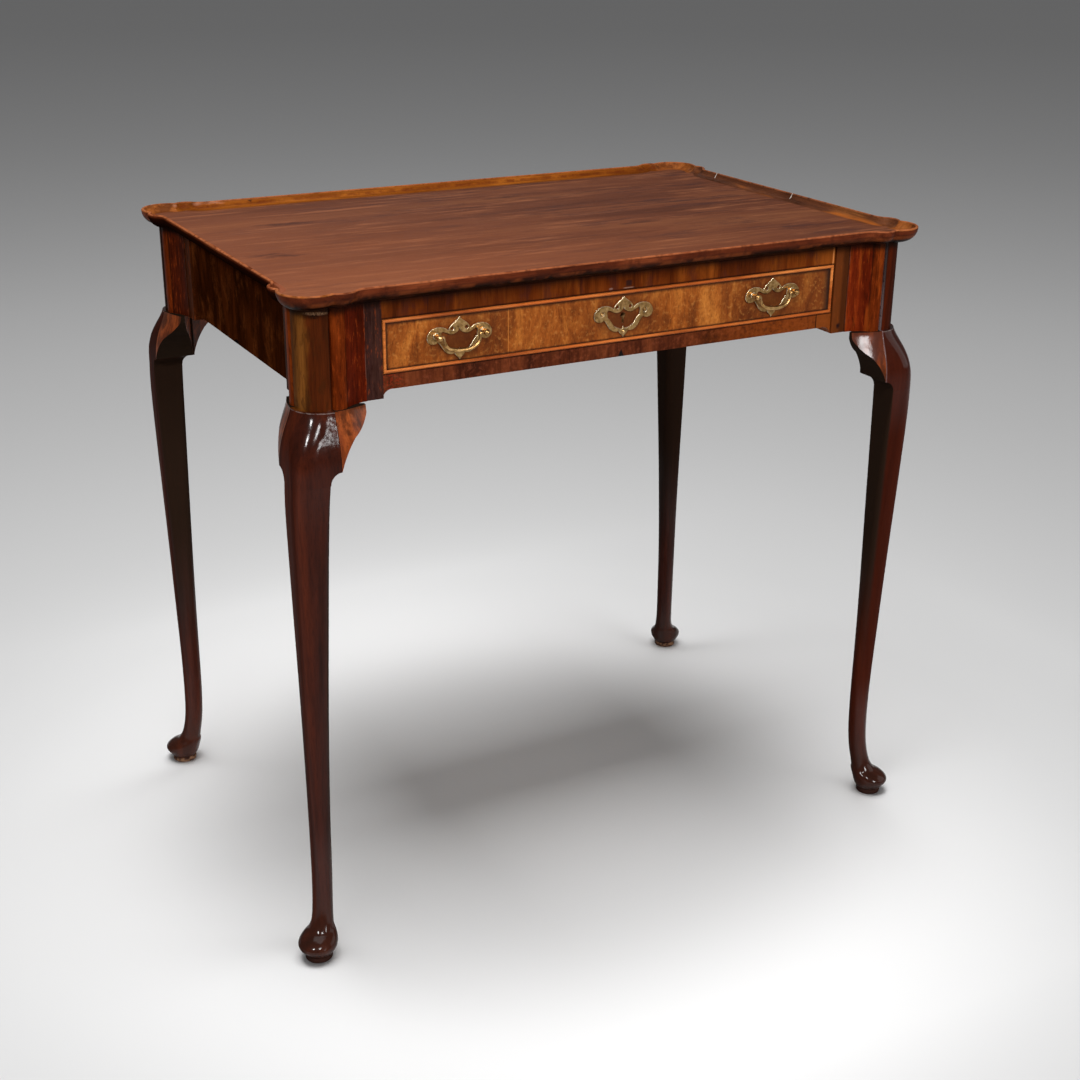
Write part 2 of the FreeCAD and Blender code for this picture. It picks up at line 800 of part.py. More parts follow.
def make_glue_blocks():
    """Small three-cornered blocks in the angle between the friezes and the board."""
    inner_y = front_face - frieze_thickness
    inner_x = side_face - frieze_thickness
    block = polygon([
        (0, inner_y, board_bottom),
        (0, inner_y - glue_block_side, board_bottom),
        (0, inner_y, board_bottom - glue_block_side),
    ]).extrude(Vector(glue_block_length, 0, 0))
    blocks = []
    for place in (-1, 0, 1):
        piece = block.copy()
        x = place * (opening_half - glue_block_inset)
        piece.translate(Vector(x - glue_block_length / 2, 0, 0))
        blocks.append(piece)
    side = block.copy()
    side.translate(Vector(-glue_block_length / 2, inner_x - inner_y, 0))
    side.rotate(Vector(0, 0, 0), Vector(0, 0, 1), -90)
    for place in (-1, 1):
        piece = side.copy()
        piece.translate(Vector(0, place * (post_y - glue_block_inset), 0))
        blocks.append(piece)
        blocks.append(mirror_x(piece))
    nodes["glue_blocks"] = Part.Compound(blocks)


def make_top_screws():
    """Countersunk screws up through the kickers and the top rail into the board."""
    rail_y = -(front_face - top_rail_depth / 2)
    kicker_x = side_outer - kicker_width / 2
    kicker_y = post_y - screw_inset_y
    rail_x = opening_half - screw_inset_x
    places = [(x, y) for x in (-kicker_x, kicker_x) for y in (-kicker_y, kicker_y)]
    places += [(-rail_x, rail_y), (rail_x, rail_y)]
    length = top_rail_height + screw_bite
    screws = []
    for x, y in places:
        head = Part.makeCone(
            screw_head_radius,
            screw_shank_radius,
            screw_head_height,
            Vector(x, y, opening_top),
        )
        shank = Part.makeCylinder(screw_shank_radius, length, Vector(x, y, opening_top))
        screws.append(head.fuse(shank).removeSplitter())
    nodes["top_screws"] = Part.Compound(screws)
    for name in ("kicker_left", "kicker_right", "rail_top_front", "tray_board"):
        nodes[name] = nodes[name].cut(screws)


# ---------------------------------------------------------------- drawer
def side_tails(start, length):
    """Dovetails on the end of the right-hand side, widening away from `start` in Y."""
    pitch = (side_top - drawer_low) / tail_count
    tails = []
    for index in range(tail_count):
        middle = drawer_low + pitch * (index + 0.5)
        wide = tail_width / 2
        narrow = wide - tail_slope
        face = polygon([
            (side_inner, start, middle - narrow),
            (side_inner, start + length, middle - wide),
            (side_inner, start + length, middle + wide),
            (side_inner, start, middle + narrow),
        ])
        tails.append(face.extrude(Vector(drawer_side_thickness, 0, 0)))
    return tails


def make_cock_beads():
    """Thin beads let into the four edges of the drawer front, standing a little proud."""
    outer_face = drawer_face - bead_proud
    radius = bead_thickness / 2
    section = Part.Face(Part.Wire([
        line((0, bead_inner_face, 0), (0, outer_face + radius, 0)),
        arc(
            (0, outer_face + radius, 0),
            (0, outer_face, radius),
            (0, outer_face + radius, bead_thickness),
        ),
        line((0, outer_face + radius, bead_thickness), (0, bead_inner_face, bead_thickness)),
        line((0, bead_inner_face, bead_thickness), (0, bead_inner_face, 0)),
    ]))
    lying = section.extrude(Vector(2 * drawer_half, 0, 0))
    lying.translate(Vector(-drawer_half, 0, 0))
    low = lying.copy()
    low.translate(Vector(0, 0, drawer_low))
    high = lying.copy()
    high.translate(Vector(0, 0, drawer_high - bead_thickness))

    height = drawer_high - drawer_low
    standing = section.copy()
    standing.rotate(Vector(0, 0, 0), Vector(0, 1, 0), 90)
    standing = standing.extrude(Vector(0, 0, height))
    right = standing.copy()
    right.translate(Vector(drawer_half - bead_thickness, 0, drawer_low))
    far = drawer_half + spare
    near = -front_face - spare
    mitre = polygon([
        (drawer_half, near, drawer_low),
        (drawer_half - height / 2, near, drawer_low + height / 2),
        (drawer_half, near, drawer_high),
        (far, near, drawer_high),
        (far, near, drawer_low),
    ]).extrude(Vector(0, bead_depth + 2 * spare, 0))
    mitre_left = mirror_x(mitre)
    nodes["cock_bead_right"] = right.common(mitre)
    nodes["cock_bead_left"] = mirror_x(nodes["cock_bead_right"])
    nodes["cock_bead_top"] = high.cut([mitre, mitre_left])
    nodes["cock_bead_bottom"] = low.cut([mitre, mitre_left])


def make_drawer():
    front = fuse([
        box(
            (-drawer_half, drawer_half),
            (bead_inner_face, drawer_front_back),
            (drawer_low, drawer_high),
        ),
        box(
            (-drawer_half + bead_thickness, drawer_half - bead_thickness),
            (drawer_face, bead_inner_face),
            (drawer_low + bead_thickness, drawer_high - bead_thickness),
        ),
    ])
    bottom = box(
        (-side_inner - groove_depth, side_inner + groove_depth),
        (drawer_front_back - groove_depth, drawer_end),
        (bottom_low, bottom_high),
    )
    back_inner = drawer_end - drawer_side_thickness
    front_tails = side_tails(drawer_front_back, -tail_length)
    back_tails = side_tails(back_inner, drawer_side_thickness)
    plank = box(
        (side_inner, side_outer),
        (drawer_front_back, back_inner),
        (drawer_low, side_top),
    )
    heel = box(
        (side_inner, side_outer),
        (back_inner, drawer_end),
        (drawer_low, bottom_high),
    )
    side = fuse([plank, heel] + front_tails + back_tails).cut(bottom)
    back = box(
        (-side_outer, side_outer),
        (back_inner, drawer_end),
        (bottom_high, side_top),
    )
    left_side = mirror_x(side)
    nodes["drawer_side_right"] = side
    nodes["drawer_side_left"] = left_side
    nodes["drawer_bottom"] = bottom
    nodes["drawer_back"] = back.cut([side, left_side])
    return front.cut([side, left_side, bottom])


# ---------------------------------------------------------------- lock
lock_back = drawer_front_back
lock_front = lock_back - lock_depth
key_z = plate_z + key_lift
bolt_low = key_z - bolt_drop
bolt_middle = (lock_back + lock_front) / 2
bolt_body_high = drawer_high - lock_wall - bolt_top_gap - bolt_travel
lock_low = bolt_low - bolt_foot


def bolt_space(half, z):
    """Room round the bolt, with its clearance."""
    half_thick = bolt_thickness / 2 + bolt_clear
    side = half + bolt_clear
    return box((-side, side), (bolt_middle - half_thick, bolt_middle + half_thick), z)


def bolt_mortise():
    """The slot in the top rail that takes the bolt."""
    return bolt_space(bolt_head_width / 2, (opening_top - 1, opening_top + bolt_travel + 2))


def keyhole(start, length):
    round_part = Part.makeCylinder(keyhole_radius, length, Vector(0, start, key_z), Vector(0, 1, 0))
    slot = box(
        (-keyhole_slot / 2, keyhole_slot / 2),
        (start, start + length),
        (key_z - keyhole_drop, key_z),
    )
    return round_part.fuse(slot)


def make_lock():
    case = box(
        (-lock_width / 2, lock_width / 2),
        (lock_front, lock_back),
        (lock_low, drawer_high),
    )
    room_high = drawer_high - lock_wall
    room_low = bolt_low - bolt_clear
    body_room = bolt_space(bolt_body_width / 2, (room_low, room_high))
    head_room = bolt_space(bolt_head_width / 2, (room_low, drawer_high + 1))
    case = case.cut([body_room, head_room, keyhole(lock_front - 1, lock_depth / 2)])
    pin = Part.makeCylinder(
        key_pin_radius,
        lock_depth - lock_wall / 2,
        Vector(0, lock_front + lock_wall / 2, key_z),
        Vector(0, 1, 0),
    )
    nodes["lock_case"] = fuse([case, pin])

    half_thick = bolt_thickness / 2
    y = (bolt_middle - half_thick, bolt_middle + half_thick)
    body = box((-bolt_body_width / 2, bolt_body_width / 2), y, (bolt_low, bolt_body_high))
    head = box((-bolt_head_width / 2, bolt_head_width / 2), y, (bolt_low, drawer_high))
    slot_top = key_z + key_pin_radius + key_pin_room
    slot = box((-key_pin_slot / 2, key_pin_slot / 2), y, (bolt_low, slot_top))
    nodes["lock_bolt"] = fuse([body, head]).cut(slot)
    return case_pocket()


def case_pocket():
    """What the drawer front loses to the lock: the case's seat and the keyhole."""
    seat = box(
        (-lock_width / 2, lock_width / 2),
        (lock_front, lock_back + 1),
        (lock_low, drawer_high + 1),
    )
    return seat.fuse(keyhole(drawer_face - 1, drawer_front_thickness - lock_depth + 1))


# ---------------------------------------------------------------- brass
def spline(points, y):
    curve = Part.BSplineCurve()
    curve.interpolate([Vector(x * plate_scale, y, z * plate_scale) for x, z in points])
    return curve.toShape()


def mirrored(points):
    return [(-x, z) for x, z in reversed(points)]


# Right-hand half of the pierced plate, in X and Z from the plate's centre, as drawn.
crest_edge = [(0.0, 20.5), (5.0, 16.2), (9.6, 12.2), (11.7, 8.4)]
scroll_edge = [
    (11.7, 8.4), (16.0, 11.2), (22.3, 12.5), (28.6, 11.2), (33.0, 7.4),
    (34.4, 3.2), (32.8, -1.4), (28.4, -3.6), (23.0, -2.0),
]
arm_edge = [(23.0, -2.0), (18.6, -7.6), (15.2, -12.2), (10.6, -14.8), (5.2, -14.3)]
pendant_edge = [(5.2, -14.3), (4.6, -16.2), (2.0, -18.8), (0.0, -22.0)]
window_crest = [(0.0, 9.9), (1.8, 6.6), (5.6, 4.6), (9.6, 4.4), (13.4, 6.0), (18.2, 7.6)]
window_eye = [(18.2, 7.6), (19.2, 5.0), (18.6, 2.2), (18.9, 0.4)]
window_arm = [(18.9, 0.4), (14.9, -3.6), (11.3, -8.6), (6.4, -11.4), (1.8, -12.4), (0.0, -9.4)]
small_hole = (7.6, 9.9)
small_hole_radius = 1.8
eye_place = (24.9, 4.2)
pendant_pin_drop = 15.6

# The plates are made to fill the drawer front's height between its beads.
drawn_height = crest_edge[0][1] - pendant_edge[-1][1]
plate_room = drawer_high - drawer_low - 2 * bead_thickness
plate_scale = (plate_room - 2 * plate_margin) / drawn_height
half_eye = eye_place[0] * plate_scale
eye_z = plate_z + eye_place[1] * plate_scale


def closed_plate_wire(halves, y):
    edges = [spline(points, y) for points in halves]
    edges += [spline(mirrored(points), y) for points in reversed(halves)]
    return Part.Wire(Part.__sortEdges__(edges))


def make_plate():
    """Pierced back plate centred on X = 0, lying on the drawer front."""
    y = plate_face
    outer = closed_plate_wire([crest_edge, scroll_edge, arm_edge, pendant_edge], y)
    window = closed_plate_wire([window_crest, window_eye, window_arm], y)
    thick = Vector(0, plate_thickness, 0)
    plate = Part.Face(outer).extrude(thick).cut(Part.Face(window).extrude(thick))
    holes = []
    for side in (-1, 1):
        holes.append(Part.makeCylinder(
            small_hole_radius * plate_scale,
            plate_thickness,
            Vector(side * small_hole[0], 0, small_hole[1]) * plate_scale + Vector(0, y, 0),
            Vector(0, 1, 0),
        ))
    plate = plate.cut(holes)
    plate.translate(Vector(0, 0, plate_z))
    return plate


def cylinder_y(radius, start, length, x, z):
    return Part.makeCylinder(radius, length, Vector(x, start, z), Vector(0, 1, 0))


def make_handle_post(x):
    """Cast post with its flange, stalk and ball, and the threaded end behind."""
    flange = cylinder_y(handle_flange_radius, plate_face - handle_flange_height,
                        handle_flange_height, x, eye_z)
    stalk = cylinder_y(handle_stalk_radius, plate_face - handle_reach, handle_reach, x, eye_z)
    ball = Part.makeSphere(handle_ball_radius, Vector(x, plate_face - handle_reach, eye_z))
    shank_end = drawer_front_back + nut_thickness + 1
    shank = cylinder_y(post_hole_radius, plate_face, shank_end - plate_face, x, eye_z)
    post = flange.fuse([stalk, ball, shank]).removeSplitter()
    bore = Part.makeCylinder(
        bail_pin_radius + bail_pin_clear,
        4 * handle_ball_radius,
        Vector(x - 2 * handle_ball_radius, pivot_y, eye_z),
        Vector(1, 0, 0),
    )
    return post.cut(bore)


def make_nut(x):
    half = nut_width / 2
    nut = box(
        (x - half, x + half),
        (drawer_front_back, drawer_front_back + nut_thickness),
        (eye_z - half, eye_z + half),
    )
    return nut.cut(cylinder_y(post_hole_radius, drawer_front_back, nut_thickness, x, eye_z))


# Right-hand half of the grip: distance in from its shoulder, drop below the pins, radius.
bail_stations = [
    (0.0, 0.0, 1.35),
    (0.7, 0.15, 1.35),
    (1.5, 0.75, 1.35),
    (2.0, 2.3, 1.35),
    (2.3, 5.4, 1.4),
    (4.1, 9.4, 1.6),
    (8.2, 12.6, 1.9),
    (14.4, 14.3, 2.15),
]
bail_middle = (14.8, 2.2)     # drop and radius at the middle


def make_bail(centre_x):
    """Bail: two pins in the posts, and a grip that thickens to its middle."""
    shoulder = half_eye - handle_ball_radius - bail_side_gap
    half = []
    for inward, drop, radius in bail_stations:
        half.append((shoulder - inward * plate_scale, -drop * plate_scale, radius))
    drop, radius = bail_middle
    middle = (0.0, -drop * plate_scale, radius)
    stations = half + [middle] + [(-x, z, radius) for x, z, radius in reversed(half)]
    centre_line = Part.BSplineCurve()
    centre_line.interpolate(
        Points=[Vector(x, pivot_y, z) for x, z, radius in stations],
        InitialTangent=Vector(-1, 0, 0),
        FinalTangent=Vector(-1, 0, 0),
    )
    sections = []
    for x, z, radius in stations:
        place = Vector(x, pivot_y, z)
        along = centre_line.tangent(centre_line.parameter(place))[0]
        sections.append(Part.Wire(Part.Circle(place, along, radius).toShape()))
    grip = Part.makeLoft(sections, True, False)
    pin_start = shoulder - bail_pin_bite
    pin_end = half_eye + handle_stalk_radius
    pin = Part.makeCylinder(
        bail_pin_radius,
        pin_end - pin_start,
        Vector(pin_start, pivot_y, 0),
        Vector(1, 0, 0),
    )
    bail = grip.fuse([pin, mirror_x(pin)]).removeSplitter()
    bail.translate(Vector(centre_x, 0, eye_z))
    return bail


def make_pin(x, z):
    """Small round-headed brass pin that holds the escutcheon."""
    head_seat = plate_face + pin_recess_depth
    head = Part.makeSphere(pin_head_radius, Vector(x, head_seat, z))
    front_half = box(
        (x - pin_head_radius, x + pin_head_radius),
        (head_seat - pin_head_radius, head_seat),
        (z - pin_head_radius, z + pin_head_radius),
    )
    head = head.common(front_half)
    return head.fuse(cylinder_y(pin_shank_radius, head_seat, pin_length, x, z)).removeSplitter()


def make_brass(front):
    """Handles and escutcheon. Returns the drawer front bored for them."""
    plate = make_plate()
    bore_length = drawer_front_back - plate_face + 2
    posts = []
    nuts = []
    for name, side in (("left", -1), ("right", 1)):
        centre = side * handle_x
        places = (centre - half_eye, centre + half_eye)
        bores = [cylinder_y(post_hole_radius, plate_face - 1, bore_length, x, eye_z) for x in places]
        back_plate = plate.copy()
        back_plate.translate(Vector(centre, 0, 0))
        nodes["backplate_" + name] = back_plate.cut(bores)
        nodes["bail_" + name] = make_bail(centre)
        posts += [make_handle_post(x) for x in places]
        nuts += [make_nut(x) for x in places]
        front = front.cut(bores)
    nodes["handle_posts"] = Part.Compound(posts)
    nodes["handle_nuts"] = Part.Compound(nuts)

    pin_places = [(-half_eye, eye_z), (half_eye, eye_z), (0.0, plate_z - pendant_pin_drop * plate_scale)]
    pins = [make_pin(x, z) for x, z in pin_places]
    recesses = [
        cylinder_y(pin_recess_radius, plate_face - 1, pin_recess_depth + 1, x, z)
        for x, z in pin_places[:2]
    ]
    nodes["escutcheon"] = plate.cut(recesses + pins)
    nodes["escutcheon_pins"] = Part.Compound(pins)
    return front.cut(pins)


# ---------------------------------------------------------------- build
make_tray()
leg_mortises = make_frieze()
make_legs(leg_mortises)
make_cheeks()
make_ears()
make_drawer_supports()
make_glue_blocks()
make_top_screws()
make_cock_beads()
drawer_front = make_drawer().cut(make_lock())
nodes["drawer_front"] = make_brass(drawer_front)

os.makedirs("parts", exist_ok=True)
for node_name, shape in nodes.items():
    shape.exportStep("parts/" + node_name + ".step")
    solids = shape.Solids
    print(node_name, len(solids), "solids", shape.isValid(), round(shape.Volume / 1000, 2), "cm3")
print(len(nodes), "nodes")
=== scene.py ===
import math
import bpy
from mathutils import Matrix, Vector


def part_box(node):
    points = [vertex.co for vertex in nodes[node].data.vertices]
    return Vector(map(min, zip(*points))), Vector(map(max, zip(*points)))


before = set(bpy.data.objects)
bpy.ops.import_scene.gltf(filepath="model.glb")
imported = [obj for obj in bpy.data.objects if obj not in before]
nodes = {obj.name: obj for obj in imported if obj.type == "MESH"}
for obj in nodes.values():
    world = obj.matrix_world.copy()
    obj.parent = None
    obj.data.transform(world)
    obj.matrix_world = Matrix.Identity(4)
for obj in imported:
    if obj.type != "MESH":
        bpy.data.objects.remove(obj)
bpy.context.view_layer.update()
scene = bpy.context.scene
bpy.ops.object.select_all(action="DESELECT")
print("frame loaded:", len(nodes), "nodes")


# camera
cameraLook = {
    "place": (-0.83873, -1.58041, 1.04389),
    "yaw": 0.4996,           # towards +X, from looking along +Y
    "pitch": 0.3863,         # downwards
    "roll": 0.0088,
    "lens": 54.27,
    "sensor": 36.0,
    "farEnd": 100,
}


def makeCamera():
    lens = bpy.data.cameras.new("camera")
    lens.lens = cameraLook["lens"]
    lens.sensor_width = cameraLook["sensor"]
    lens.clip_end = cameraLook["farEnd"]
    camera = bpy.data.objects.new("camera", lens)
    scene.collection.objects.link(camera)
    place = Matrix.Translation(cameraLook["place"])
    turn = Matrix.Rotation(-cameraLook["yaw"], 4, "Z")
    tilt = Matrix.Rotation(math.pi / 2 - cameraLook["pitch"], 4, "X")
    roll = Matrix.Rotation(cameraLook["roll"], 4, "Z")
    camera.matrix_world = place @ turn @ tilt @ roll
    scene.camera = camera


makeCamera()
scene.view_settings.view_transform = "Standard"


# small helpers for node trees
def paint(red, green, blue):
    # a screen colour of 0 to 255, as the light values that a socket takes
    channels = []
    for value in (red, green, blue):
        share = value / 255
        channels.append(share / 12.92 if share < 0.04045 else ((share + 0.055) / 1.055) ** 2.4)
    return (*channels, 1.0)


def put(tree, kind, inputs=None, **settings):
    node = tree.nodes.new("ShaderNode" + kind)
    for key, value in settings.items():
        setattr(node, key, value)
    for key, value in (inputs or {}).items():
        if isinstance(value, bpy.types.NodeSocket):
            tree.links.new(value, node.inputs[key])
        else:
            node.inputs[key].default_value = value
    return node


def calculate(tree, operation, first, second=0.0, clamp=False):
    made = put(tree, "Math", {0: first, 1: second}, operation=operation, use_clamp=clamp)
    return made.outputs[0]


def opposite(tree, mask):
    return calculate(tree, "SUBTRACT", 1.0, mask)


def allOf(tree, *masks):
    # where all the masks hold, a bare number being a share
    total = masks[0]
    for mask in masks[1:]:
        total = calculate(tree, "MULTIPLY", total, mask)
    return total


def anyOf(tree, *masks):
    # where one of the masks holds
    total = masks[0]
    for mask in masks[1:]:
        total = calculate(tree, "MAXIMUM", total, mask)
    return total


def fade(tree, value, low, high):
    # from 0 at low to 1 at high, either way up
    limits = {"Value": value, "From Min": low, "From Max": high, "To Min": 0.0, "To Max": 1.0}
    return put(tree, "MapRange", limits, interpolation_type="SMOOTHSTEP").outputs[0]


def mixed(tree, factor, first, second, mode="MIX"):
    made = put(tree, "Mix", data_type="RGBA", blend_type=mode)
    for name, value in (("Factor_Float", factor), ("A_Color", first), ("B_Color", second)):
        socket = next(s for s in made.inputs if s.identifier == name)
        if isinstance(value, bpy.types.NodeSocket):
            tree.links.new(value, socket)
        else:
            socket.default_value = value
    return next(s for s in made.outputs if s.identifier == "Result_Color")


def laidOn(tree, colour, tone, *masks):
    # a tone over the colour, where all the masks hold
    return mixed(tree, allOf(tree, *masks), colour, paint(*tone))


def ramp(tree, factor, stops):
    made = put(tree, "ValToRGB", {"Fac": factor})
    band = made.color_ramp
    band.elements[0].position, band.elements[0].color = stops[0]
    band.elements[1].position, band.elements[1].color = stops[-1]
    for place, colour in stops[1:-1]:
        band.elements.new(place).color = colour
    return made.outputs["Color"]


def noise(tree, place, scale, detail=3.0, rough=0.55, twist=0.0):
    made = put(
        tree,
        "TexNoise",
        {"Vector": place, "Scale": scale, "Detail": detail, "Roughness": rough, "Distortion": twist},
    )
    return made.outputs["Fac"]


def bump(tree, height, strength, distance, normal=None):
    shape = {"Height": height, "Strength": strength, "Distance": distance}
    if normal is not None:
        shape["Normal"] = normal
    return put(tree, "Bump", shape).outputs[0]


def here(tree, axis=None):
    # place on the piece, or its value along one axis
    place = put(tree, "TexCoord").outputs["Object"]
    return put(tree, "SeparateXYZ", {0: place}).outputs[axis] if axis else place


def facing(tree, axis):
    # how far the surface faces along the axis, -1 to 1
    normal = put(tree, "TexCoord").outputs["Normal"]
    return put(tree, "SeparateXYZ", {0: normal}).outputs[axis]


def window(tree, value, low, high, soft):
    # 1 between low and high
    rise = fade(tree, value, low - soft, low + soft)
    fall = fade(tree, value, high + soft, high - soft)
    return allOf(tree, rise, fall)


def spot(tree, place, centre, reach, edge=0.5):
    # 1 at the centre, 0 past its reach along X, Y and Z
    scale = [1 / r for r in reach]
    shift = [-c * k for c, k in zip(centre, scale)]
    moves = {"Vector": place, "Location": shift, "Scale": scale}
    moved = put(tree, "Mapping", moves).outputs["Vector"]
    length = put(tree, "VectorMath", {0: moved}, operation="LENGTH").outputs["Value"]
    return fade(tree, length, 1.0, 1.0 - edge)


def wobble(tree, value, place, scale, amount):
    # shifts a mask's value by a noise, so that its edge isn't ruled
    shift = calculate(tree, "SUBTRACT", noise(tree, place, scale, 3.0, 0.6), 0.5)
    return calculate(tree, "ADD", value, calculate(tree, "MULTIPLY", shift, amount))


def wobbled(tree, place, scale, amount):
    # the same for a place
    shift = put(tree, "TexNoise", {"Vector": place, "Scale": scale, "Detail": 3.0}).outputs["Color"]
    shift = put(tree, "VectorMath", {0: shift, 1: (0.5, 0.5, 0.5)}, operation="SUBTRACT").outputs[0]
    shift = put(tree, "VectorMath", {0: shift, "Scale": amount}, operation="SCALE").outputs[0]
    return put(tree, "VectorMath", {0: place, 1: shift}, operation="ADD").outputs[0]


def emptyMaterial(name):
    material = bpy.data.materials.new(name)
    material.use_nodes = True
    tree = material.node_tree
    tree.nodes.clear()
    shader = put(tree, "BsdfPrincipled")
    out = put(tree, "OutputMaterial")
    tree.links.new(shader.outputs[0], out.inputs["Surface"])
    return material, tree, shader


# stage
floorLook = {
    "radius": 30.0,
    "centre": (-0.03, -0.06, 0.0),       # of its lit patch
    "spread": 0.4,                       # under 1, so that the near rings have most of the ramp
    "rough": 0.9,
    "specular": 0.1,
    "paintedLightGreys": [                           # painted pool of light, lower under the table as painted shadow: distance from the centre, grey of 255
        (0.0, 255),
        (0.1, 254),
        (0.2, 240),
        (0.3, 232),
        (0.42, 249),
        (0.5, 241),
        (0.58, 227),
        (0.66, 215),
        (0.8, 200),
        (1.0, 193),
        (1.4, 191),
        (1.8, 195),
        (2.2, 202),
        (2.7, 210),
        (3.5, 217),
        (4.5, 224),
        (7.0, 226),
        (11.0, 210),
        (30.0, 210),
    ],
}


def makeFloor():
    radius, spread = floorLook["radius"], floorLook["spread"]
    bpy.ops.mesh.primitive_circle_add(vertices=128, radius=radius, fill_type="TRIFAN")
    floor = bpy.context.object
    floor.name = "floor"
    material, tree, shader = emptyMaterial("floorPaint")
    ends = {0: here(tree), 1: floorLook["centre"]}
    distance = put(tree, "VectorMath", ends, operation="DISTANCE").outputs["Value"]
    share = calculate(tree, "POWER", calculate(tree, "DIVIDE", distance, radius), spread)
    stops = []
    # the greys paint a pool of light on the floor, with painted shadow under the table
    for ring, grey in floorLook["paintedLightGreys"]:
        stops.append(((ring / radius) ** spread, paint(grey, grey, grey)))
    colour = ramp(tree, share, stops)
    colour.node.color_ramp.interpolation = "B_SPLINE"
    tree.links.new(colour, shader.inputs["Base Color"])
    shader.inputs["Roughness"].default_value = floorLook["rough"]
    shader.inputs["Specular IOR Level"].default_value = floorLook["specular"]
    floor.data.materials.append(material)
    return floor


worldLook = {
    "seen": (103, 103, 103),             # by the camera and in reflections
    "strength": 0.6,                     # of the sky that lights the table
    "sky": [(0.0, (0.1, 0.1, 0.1, 1)), (0.4, (0.16, 0.16, 0.165, 1)), (1.0, (0.5, 0.5, 0.5, 1))],
}


def makeWorld():
    world = bpy.data.worlds.new("studio")
    world.use_nodes = True
    tree = world.node_tree
    tree.nodes.clear()
    seen = put(tree, "Background", {"Color": paint(*worldLook["seen"]), "Strength": 1.0})
    way = put(tree, "TexCoord").outputs["Generated"]
    height = put(tree, "SeparateXYZ", {0: way}).outputs["Z"]
    sky = ramp(tree, height, worldLook["sky"])
    lit = put(tree, "Background", {"Color": sky, "Strength": worldLook["strength"]})
    rays = put(tree, "LightPath").outputs
    kinds = ("Is Camera Ray", "Is Glossy Ray", "Is Transmission Ray")
    direct = anyOf(tree, *[rays[kind] for kind in kinds])
    blend = put(tree, "MixShader", {0: direct, 1: lit.outputs[0], 2: seen.outputs[0]})
    put(tree, "OutputWorld", {"Surface": blend.outputs[0]})
    scene.world = world


softBoxes = {
    # name: place, aim, width, height, watts, what it lights
    "key_left": ((-2.2, -1.5, 2.45), (0.0, 0.0, 0.4), 0.3, 0.48, 38, "table"),
    "key_middle": ((-0.85, -2.3, 2.6), (0.0, 0.0, 0.4), 0.4, 0.48, 38, "table"),
    "key_right": ((0.62, -3.9, 1.85), (0.0, 0.0, 0.45), 0.9, 0.9, 84, "table"),
    "side": ((3.4, -1.6, 1.6), (0.0, 0.0, 0.4), 2.6, 2.4, 20, "table"),
    "overhead": ((-0.1, 0.15, 2.5), (0.0, 0.0, 0.0), 1.7, 1.4, 15, "table"),
    "back": ((0.6, 3.0, 2.2), (0.0, 0.0, 0.7), 2.0, 1.0, 4, "table"),
    "floor_light": ((-0.12, -0.03, 2.6), (-0.12, -0.03, 0.0), 1.8, 1.6, 80, "floor"),
    "floor_fill": ((0.0, -0.6, 3.2), (0.0, -0.6, 0.0), 6.0, 6.0, 26, "floor"),
}


def makeLights(floor):
    receivers = {}
    for name, objects in (("table", list(nodes.values())), ("floor", [floor])):
        receivers[name] = bpy.data.collections.new(name + "_lit")
        for item in objects:
            receivers[name].objects.link(item)
    for name, (place, aim, width, height, watts, lights) in softBoxes.items():
        lamp = bpy.data.lights.new(name, "AREA")
        lamp.shape = "RECTANGLE"
        lamp.size = width
        lamp.size_y = height
        lamp.energy = watts
        light = bpy.data.objects.new(name, lamp)
        scene.collection.objects.link(light)
        light.location = place
        light.rotation_euler = (Vector(aim) - Vector(place)).to_track_quat("-Z", "Y").to_euler()
        light.light_linking.receiver_collection = receivers[lights]


makeWorld()
makeLights(makeFloor())
print("stage made")


# wood
plainWood = {                # what a wood has where its own dictionary says nothing
    "squash": 0.12,          # of the figure along the grain
    "fineSquash": 0.03,      # of streaks and pores along the grain
    "figureScale": 26,
    "twist": 0.6,
    "bandScale": 260,
    "hairScale": 1500,
    "streak": 0.6,
    "streakTones": [(0.3, (0.42, 0.38, 0.36, 1)), (0.52, (1, 1, 1, 1)), (0.75, (1.3, 1.28, 1.25, 1))],
    "pores": 0.45,
    "poreTones": [(0.36, (0.35, 0.3, 0.28, 1)), (0.5, (1, 1, 1, 1))],
    "bump": 0.12,
    "uneven": 0.1,
    "specular": 0.05,
    "coat": 0.0,
    "coatRough": 0.1,
}


def alongGrain(tree, place, along, seed, squash):
    # places squeezed along the grain, and moved by the seed
    scale = [1.0, 1.0, 1.0]
    scale["XYZ".index(along)] = squash
    moves = {"Vector": place, "Location": (seed, seed * 0.7, seed * 1.3), "Scale": scale}
    return put(tree, "Mapping", moves).outputs["Vector"]


def tones(tree, figure, colours):
    dark, middle, light = colours
    return ramp(tree, figure, [(0.3, paint(*dark)), (0.5, paint(*middle)), (0.7, paint(*light))])


def figured(tree, look, regions):
    # the wood's figure in its own tones, and in other tones where a region has them
    broad = alongGrain(tree, here(tree), look["along"], look["seed"], look["squash"])
    figure = noise(tree, broad, look["figureScale"], 4.0, 0.6, look["twist"])
    colour = tones(tree, figure, look["tones"])
    for mask, colours in (regions(tree) if regions else []):
        colour = mixed(tree, mask, colour, tones(tree, figure, colours))
    return colour


